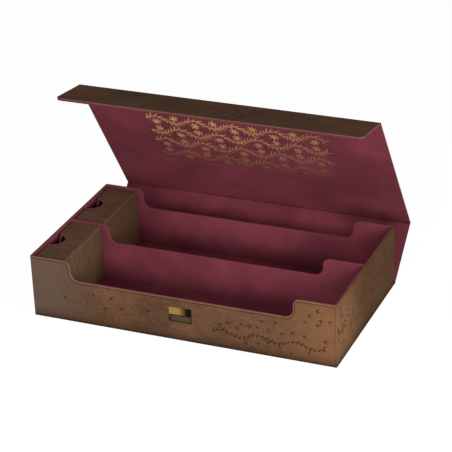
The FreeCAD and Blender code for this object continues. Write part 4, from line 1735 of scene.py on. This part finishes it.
@dataclass(frozen=True)
class LeafVine(LeafTree):
    """Wavy stem along X with leaves on both sides."""

    name: str = "leaf_vine"
    inputs: tuple[tuple[str, float], ...] = (
        ("Run", 60.0), ("Wave", 5.0), ("Turns", 2.0), ("Count", 16), ("Length", 5.0), ("Width", 1.0), ("Lean", 0.9),
        ("Seed", 1))

    def make(self) -> bpy.types.NodeTree:
        """Build the vine's tree."""
        tree, given = self._open()
        end = add_node(tree, "ShaderNodeCombineXYZ", {0: given["Run"]}).outputs[0]
        line = add_node(tree, "GeometryNodeCurvePrimitiveLine", {"Start": (0, 0, 0), "End": end}).outputs[0]
        line = add_node(tree, "GeometryNodeResampleCurve", {"Curve": line, "Count": 64}).outputs[0]
        along = add_node(tree, "GeometryNodeSplineParameter").outputs["Factor"]
        turns = add_node(tree, "ShaderNodeMath", {0: given["Turns"], 1: math.tau}, operation="MULTIPLY").outputs[0]
        phase = add_node(tree, "ShaderNodeMath", {0: along, 1: turns}, operation="MULTIPLY").outputs[0]
        wave = add_node(tree, "ShaderNodeMath", {0: phase}, operation="SINE").outputs[0]
        wave = add_node(tree, "ShaderNodeMath", {0: wave, 1: given["Wave"]}, operation="MULTIPLY").outputs[0]
        shift = add_node(tree, "ShaderNodeCombineXYZ", {1: wave}).outputs[0]
        line = add_node(tree, "GeometryNodeSetPosition", {"Geometry": line, "Offset": shift}).outputs[0]
        line = add_node(tree, "GeometryNodeSetCurveNormal", {0: line}, mode="Z_UP").outputs[0]
        ribbon = add_node(tree, "GeometryNodeCurvePrimitiveQuadrilateral", {
            "Width": 0.45, "Height": self.thick}).outputs[0]
        stem = add_node(tree, "GeometryNodeCurveToMesh", {
            "Curve": line, "Profile Curve": ribbon, "Fill Caps": True}).outputs[0]
        spots = add_node(tree, "GeometryNodeCurveToPoints", {"Curve": line, "Count": given["Count"]}).outputs
        number = add_node(tree, "GeometryNodeInputIndex").outputs[0]
        side = add_node(tree, "ShaderNodeMath", {0: number, 1: 2.0}, operation="MODULO").outputs[0]
        side = add_node(tree, "ShaderNodeMath", {0: side, 1: 2.0, 2: -1.0}, operation="MULTIPLY_ADD").outputs[0]
        heading = add_node(tree, "ShaderNodeSeparateXYZ", {0: spots["Tangent"]}).outputs
        heading = add_node(tree, "ShaderNodeMath", {0: heading[1], 1: heading[0]}, operation="ARCTAN2").outputs[0]
        lean = add_node(tree, "ShaderNodeMath", {0: side, 1: given["Lean"], 2: heading},
                        operation="MULTIPLY_ADD").outputs[0]
        turn = add_node(tree, "ShaderNodeCombineXYZ", {2: lean}).outputs[0]
        leaves = add_node(tree, "GeometryNodeInstanceOnPoints", {
            "Points": spots["Points"], "Instance": self._leaf(tree), "Rotation": turn,
            "Scale": self._size(tree, given)}).outputs[0]
        both = add_node(tree, "GeometryNodeJoinGeometry", {0: leaves})
        tree.links.new(stem, both.inputs[0])
        return self._close(tree, both.outputs[0], given)


@dataclass
class Print:
    """Print made of several leafy motifs on one face.

    Attributes:
        name: Name of the piece.
        finish: Finish of the print.
        face: Turn and shift, in millimetres, from the XY plane to the face.
        motifs: Mesh of each motif, with its place and turn on the face.
    """

    name: str
    finish: Finish
    face: Matrix
    motifs: list[tuple[bpy.types.Mesh, tuple[float, float], float]] = field(default_factory=list)

    def add(self, mesh: bpy.types.Mesh, spot: tuple[float, float], turn: float = 0.0) -> None:
        """Add a motif at a spot on the face, turned by an angle in degrees."""
        self.motifs.append((mesh, spot, turn))

    def build(self, body: str, slot: Slot) -> bpy.types.Object:
        """Join the motifs into one piece that rides on a body."""
        work = bmesh.new()
        for mesh, spot, turn in self.motifs:
            first = len(work.verts)
            work.from_mesh(mesh)
            work.verts.ensure_lookup_table()
            place = Matrix.Translation((spot[0], spot[1], 0)) @ Matrix.Rotation(math.radians(turn), 4, "Z")
            bmesh.ops.transform(work, matrix=Matrix.Scale(MM, 4) @ self.face @ place, verts=work.verts[first:])
        bmesh.ops.recalc_face_normals(work, faces=work.faces)
        mesh = bpy.data.meshes.new(self.name)
        work.to_mesh(mesh)
        work.free()
        return dress(finished(self.name, mesh, self.finish), body, slot)


@dataclass
class Prints:
    """Prints on the box: gold vines inside the lid, and brown sprigs on the leather.

    Attributes:
        lid: The panel that carries the vines.
        flap: The panel that closes over the front wall.
        left: Where the vines start, across the lid.
        run: How long they are.
        rows: How far from the crease each vine lies.
        bends: Number of bends of each vine.
        proud: How far a print stands off its face.
    """

    lid: CoverPanel
    flap: CoverPanel
    left: float = -112.0
    run: float = 220.0
    rows: tuple[float, ...] = (88.0, 111.0, 134.0, 157.0)
    bends: int = 9
    proud: float = 0.03

    def _vine(self, gold: Print, k: int, wave: float) -> None:
        """Stamp a wavy vine with a blossom in each bend.

        Args:
            gold: Print that gets it.
            k: Row of the vine.
            wave: How far its first bend goes up.
        """
        vine, ring = LeafVine(), LeafRing()
        up = self.rows[k]
        gold.add(vine.grow(FINISHES.gold, Run=self.run, Wave=wave, Turns=self.bends / 2, Count=92, Length=6.6,
                           Width=1.0, Lean=0.7, Seed=20 + k), (self.left, up))
        for bend in range(self.bends):
            wave = -wave
            spot = (self.left + (bend + 0.5) * self.run / self.bends, up + wave * 0.75)
            gold.add(ring.grow(FINISHES.gold, Count=7, Reach_X=1.3, Reach_Y=1.3, Length=4.4, Width=1.3, Lean=0.2,
                               Seed=k), spot, 23.0 * bend)

    def garland(self) -> None:
        """Stamp rows of vines on the lid's lining, between two lines of beads."""
        face = self.lid.place() @ Matrix.Translation((0, 0, PANEL / 2 + self.proud))
        gold = Print("gold_leaf_garland", FINISHES.gold, face)
        for k in range(len(self.rows)):
            self._vine(gold, k, 6.5 if k % 2 else -6.5)
        for up in (self.rows[0] - 15.0, self.rows[-1] + 15.0):
            gold.add(LeafVine().grow(FINISHES.gold, Run=self.run, Wave=0.0, Turns=0.0, Count=64, Length=2.4,
                                     Width=1.4, Lean=0.0, Seed=9), (self.left, up))
        gold.build(self.lid.body, Slot.LINING)

    def front(self) -> None:
        """Print a vine and sprigs on the front wall."""
        face = Matrix.Translation((0, self.proud - HALF_D, 0)) @ Matrix.Rotation(math.pi / 2, 4, "X")
        ink = Print("front_sprig_print", FINISHES.ink, face)
        drift = LeafDrift()
        for spot, reach, spacing, seed in (((102.0, 32.0), (72.0, 13.0), 8.5, 3), ((157.0, 55.0), (19.0, 12.0), 7.0, 4),
                                           ((-92.0, 28.0), (62.0, 14.0), 13.0, 5), ((104.0, 11.0), (70.0, 5.0), 9.5, 6)):
            ink.add(drift.grow(FINISHES.ink, Reach_X=reach[0], Reach_Y=reach[1], Hollow=0.0, Spacing=spacing,
                               Length=4.4, Width=0.8, Swing=6.0, Seed=seed), spot)
        ink.add(LeafVine().grow(FINISHES.ink, Run=132.0, Wave=3.2, Turns=3.0, Count=52, Length=3.4, Width=1.0,
                                Lean=0.9, Seed=8), (38.0, 20.0))
        ink.build("tray", Slot.LEATHERETTE)

    def side(self) -> None:
        """Print sprigs on the right wall, thinning towards the back."""
        axes = Matrix(((0, 0, 1, HALF_L - self.proud), (1, 0, 0, 0), (0, 1, 0, 0), (0, 0, 0, 1)))
        ink = Print("side_sprig_print", FINISHES.ink, axes)
        drift = LeafDrift()
        for spot, reach, spacing, length, seed in (((-84.0, 40.0), (11.0, 36.0), 6.5, 4.6, 11),
                                                   ((-55.0, 44.0), (26.0, 26.0), 12.0, 3.4, 12),
                                                   ((-40.0, 40.0), (40.0, 28.0), 15.0, 3.2, 13),
                                                   ((25.0, 44.0), (64.0, 29.0), 13.0, 3.4, 14),
                                                   ((20.0, 42.0), (68.0, 29.0), 12.0, 2.6, 15)):
            ink.add(drift.grow(FINISHES.ink, Reach_X=reach[0], Reach_Y=reach[1], Hollow=0.0, Spacing=spacing,
                               Length=length, Width=1.1, Swing=9.0, Seed=seed), spot)
        ink.build("tray", Slot.LEATHERETTE)

    def top(self) -> None:
        """Print a few faint sprigs and a vine on the outside of the flap."""
        face = self.flap.place() @ Matrix.Translation((0, 0, -PANEL / 2 - self.proud))
        ink = Print("flap_sprig_print", FINISHES.ink, face)
        drift, vine = LeafDrift(), LeafVine()
        for spot, reach, spacing, seed in (((-70.0, 30.0), (60.0, 16.0), 15.0, 21), ((28.0, 30.0), (44.0, 22.0), 8.0, 22),
                                           ((120.0, 34.0), (40.0, 16.0), 17.0, 23)):
            ink.add(drift.grow(FINISHES.ink, Reach_X=reach[0], Reach_Y=reach[1], Hollow=0.0, Spacing=spacing,
                               Length=3.4, Width=1.1, Swing=9.0, Seed=seed), spot)
        for spot, turn, run, seed in (((18.0, 8.0), 62.0, 46.0, 24), ((52.0, 12.0), 110.0, 40.0, 25)):
            ink.add(vine.grow(FINISHES.ink, Run=run, Wave=1.8, Turns=1.2, Count=round(run / 2.6), Length=3.2,
                              Width=1.0, Lean=1.0, Seed=seed), spot, turn)
        ink.build(self.flap.body, Slot.LEATHERETTE)

    def build(self) -> None:
        """Build every print."""
        self.garland()
        self.front()
        self.side()
        self.top()


def dress_boards() -> None:
    """Give the nodes that stay their own finish: boards, and the magnets in them."""
    for name, node in frame["nodes"].items():
        if name.endswith("_board") or name.endswith("_magnets"):
            finish = FINISHES.board if name.endswith("_board") else FINISHES.steel
            node.data.materials.clear()
            node.data.materials.append(finish.material())


# Studio


@dataclass
class Studio:
    """Plain white studio: camera, floor, soft key from the front right and a weak surround.

    Attributes:
        eye: Place of the camera, in millimetres.
        right: Direction of the picture's right.
        down: Direction of the picture's foot.
        ahead: Direction of view.
        lens: Focal length on a 36 mm sensor.
    """

    eye: tuple[float, float, float] = (787.15, -1773.71, 1062.79)
    right: tuple[float, float, float] = (0.923534, 0.381819, -0.036052)
    down: tuple[float, float, float] = (0.140894, -0.42521, -0.894061)
    ahead: tuple[float, float, float] = (-0.356699, 0.820616, -0.446492)
    lens: float = 151.91

    def camera(self) -> None:
        """Stand the camera where the photograph was taken from."""
        data = bpy.data.cameras.new("camera")
        data.lens = self.lens
        data.sensor_width = 36.0
        data.clip_end = 20.0
        made = bpy.data.objects.new("camera", data)
        turn = Matrix((Vector(self.right), -Vector(self.down), -Vector(self.ahead))).transposed()
        made.matrix_world = Matrix.Translation(Vector(self.eye) * MM) @ turn.to_4x4()
        bpy.context.scene.collection.objects.link(made)
        bpy.context.scene.camera = made

    def floor(self) -> None:
        """Lay a floor that the camera sees as white paper, with the box's soft shadow."""
        material = bpy.data.materials.new("white_paper_sweep")
        material.use_nodes = True
        tree = material.node_tree
        tree.nodes.clear()
        path = add_node(tree, "ShaderNodeLightPath").outputs
        seen = add_node(tree, "ShaderNodeMath", {0: path["Is Camera Ray"], 1: path["Is Glossy Ray"]},
                        operation="MAXIMUM").outputs[0]
        seen = add_node(tree, "ShaderNodeMath", {0: seen, 1: path["Is Transmission Ray"]},
                        operation="MAXIMUM").outputs[0]
        paper = add_node(tree, "ShaderNodeBsdfDiffuse", {"Color": (0.32, 0.3, 0.28, 1.0)}).outputs[0]
        pale = add_node(tree, "ShaderNodeBsdfDiffuse", {"Color": (0.95, 0.95, 0.95, 1.0)}).outputs[0]
        glow = add_node(tree, "ShaderNodeEmission", {"Color": (1, 1, 1, 1), "Strength": 1.05}).outputs[0]
        shown = add_node(tree, "ShaderNodeMixShader", {0: 0.92, 1: pale, 2: glow}).outputs[0]
        mixed = add_node(tree, "ShaderNodeMixShader", {0: seen, 1: paper, 2: shown}).outputs[0]
        add_node(tree, "ShaderNodeOutputMaterial", {"Surface": mixed})
        mesh = bpy.data.meshes.new("floor")
        reach = 6.0
        mesh.from_pydata([(-reach, -reach, 0), (reach, -reach, 0), (reach, reach, 0), (-reach, reach, 0)], [],
                         [(0, 1, 2, 3)])
        mesh.materials.append(material)
        made = bpy.data.objects.new("floor", mesh)
        bpy.context.scene.collection.objects.link(made)

    def lamp(self, name: str, place: tuple[float, float, float], size: tuple[float, float], power: float,
             colour: str) -> None:
        """Hang a soft rectangular lamp that points at the box.

        Args:
            name: Name of the lamp.
            place: Where it hangs, in metres.
            size: Its width and height in metres.
            power: Its power in watts.
            colour: Its colour.
        """
        data = bpy.data.lights.new(name, "AREA")
        data.shape = "RECTANGLE"
        data.size, data.size_y = size
        data.energy = power
        data.color = linear(colour)[:3]
        made = bpy.data.objects.new(name, data)
        toward = Vector((0, 0, 0.06)) - Vector(place)
        made.matrix_world = Matrix.Translation(place) @ toward.to_track_quat("-Z", "Y").to_matrix().to_4x4()
        bpy.context.scene.collection.objects.link(made)

    def world(self) -> None:
        """Surround the box with a weak even light, seen as white."""
        world = bpy.data.worlds.new("surround")
        world.use_nodes = True
        tree = world.node_tree
        tree.nodes.clear()
        path = add_node(tree, "ShaderNodeLightPath").outputs
        seen = add_node(tree, "ShaderNodeMath", {0: path["Is Camera Ray"], 1: path["Is Glossy Ray"]},
                        operation="MAXIMUM").outputs[0]
        seen = add_node(tree, "ShaderNodeMath", {0: seen, 1: path["Is Transmission Ray"]},
                        operation="MAXIMUM").outputs[0]
        strength = add_node(tree, "ShaderNodeMapRange", {"Value": seen, "To Min": 0.14, "To Max": 1.0}).outputs[0]
        light = add_node(tree, "ShaderNodeBackground", {"Color": (1, 1, 1, 1), "Strength": strength}).outputs[0]
        add_node(tree, "ShaderNodeOutputWorld", {"Surface": light})
        bpy.context.scene.world = world

    def build(self) -> None:
        """Set up the studio."""
        bpy.context.scene.view_settings.view_transform = "Standard"
        self.camera()
        self.floor()
        self.world()
        self.lamp("key", (0.65, -0.84, 0.40), (0.35, 0.25), 2.2, "#ffffff")
        self.lamp("low", (0.424, -0.605, 0.19), (0.25, 0.2), 1.6, "#ffffff")
        self.lamp("front", (-0.1, -0.846, 0.368), (0.3, 0.25), 2.3, "#ffffff")
        self.lamp("left", (-1.2, -0.5, 0.6), (0.6, 0.6), 2.4, "#ffffff")
        self.lamp("right", (1.0, 0.1, 0.35), (0.4, 0.4), 4.8, "#ffffff")


def main() -> None:
    """Build the box piece by piece and set up the studio."""
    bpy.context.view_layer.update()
    Studio().build()
    dress_boards()
    Tray().build()
    Divider().build()
    Label().build()
    lid, flap = Cover.from_joints(frame["joints"]).build()
    Prints(lid, flap).build()
    gap = 0.5
    AccessoryCase("front_case", gap - INNER_Y, -PANEL / 2 - gap).build()
    AccessoryCase("rear_case", PANEL / 2 + gap, INNER_Y - gap).build()


if __name__ == "__main__":
    logging.basicConfig(level=logging.INFO, format="%(message)s")
    main()
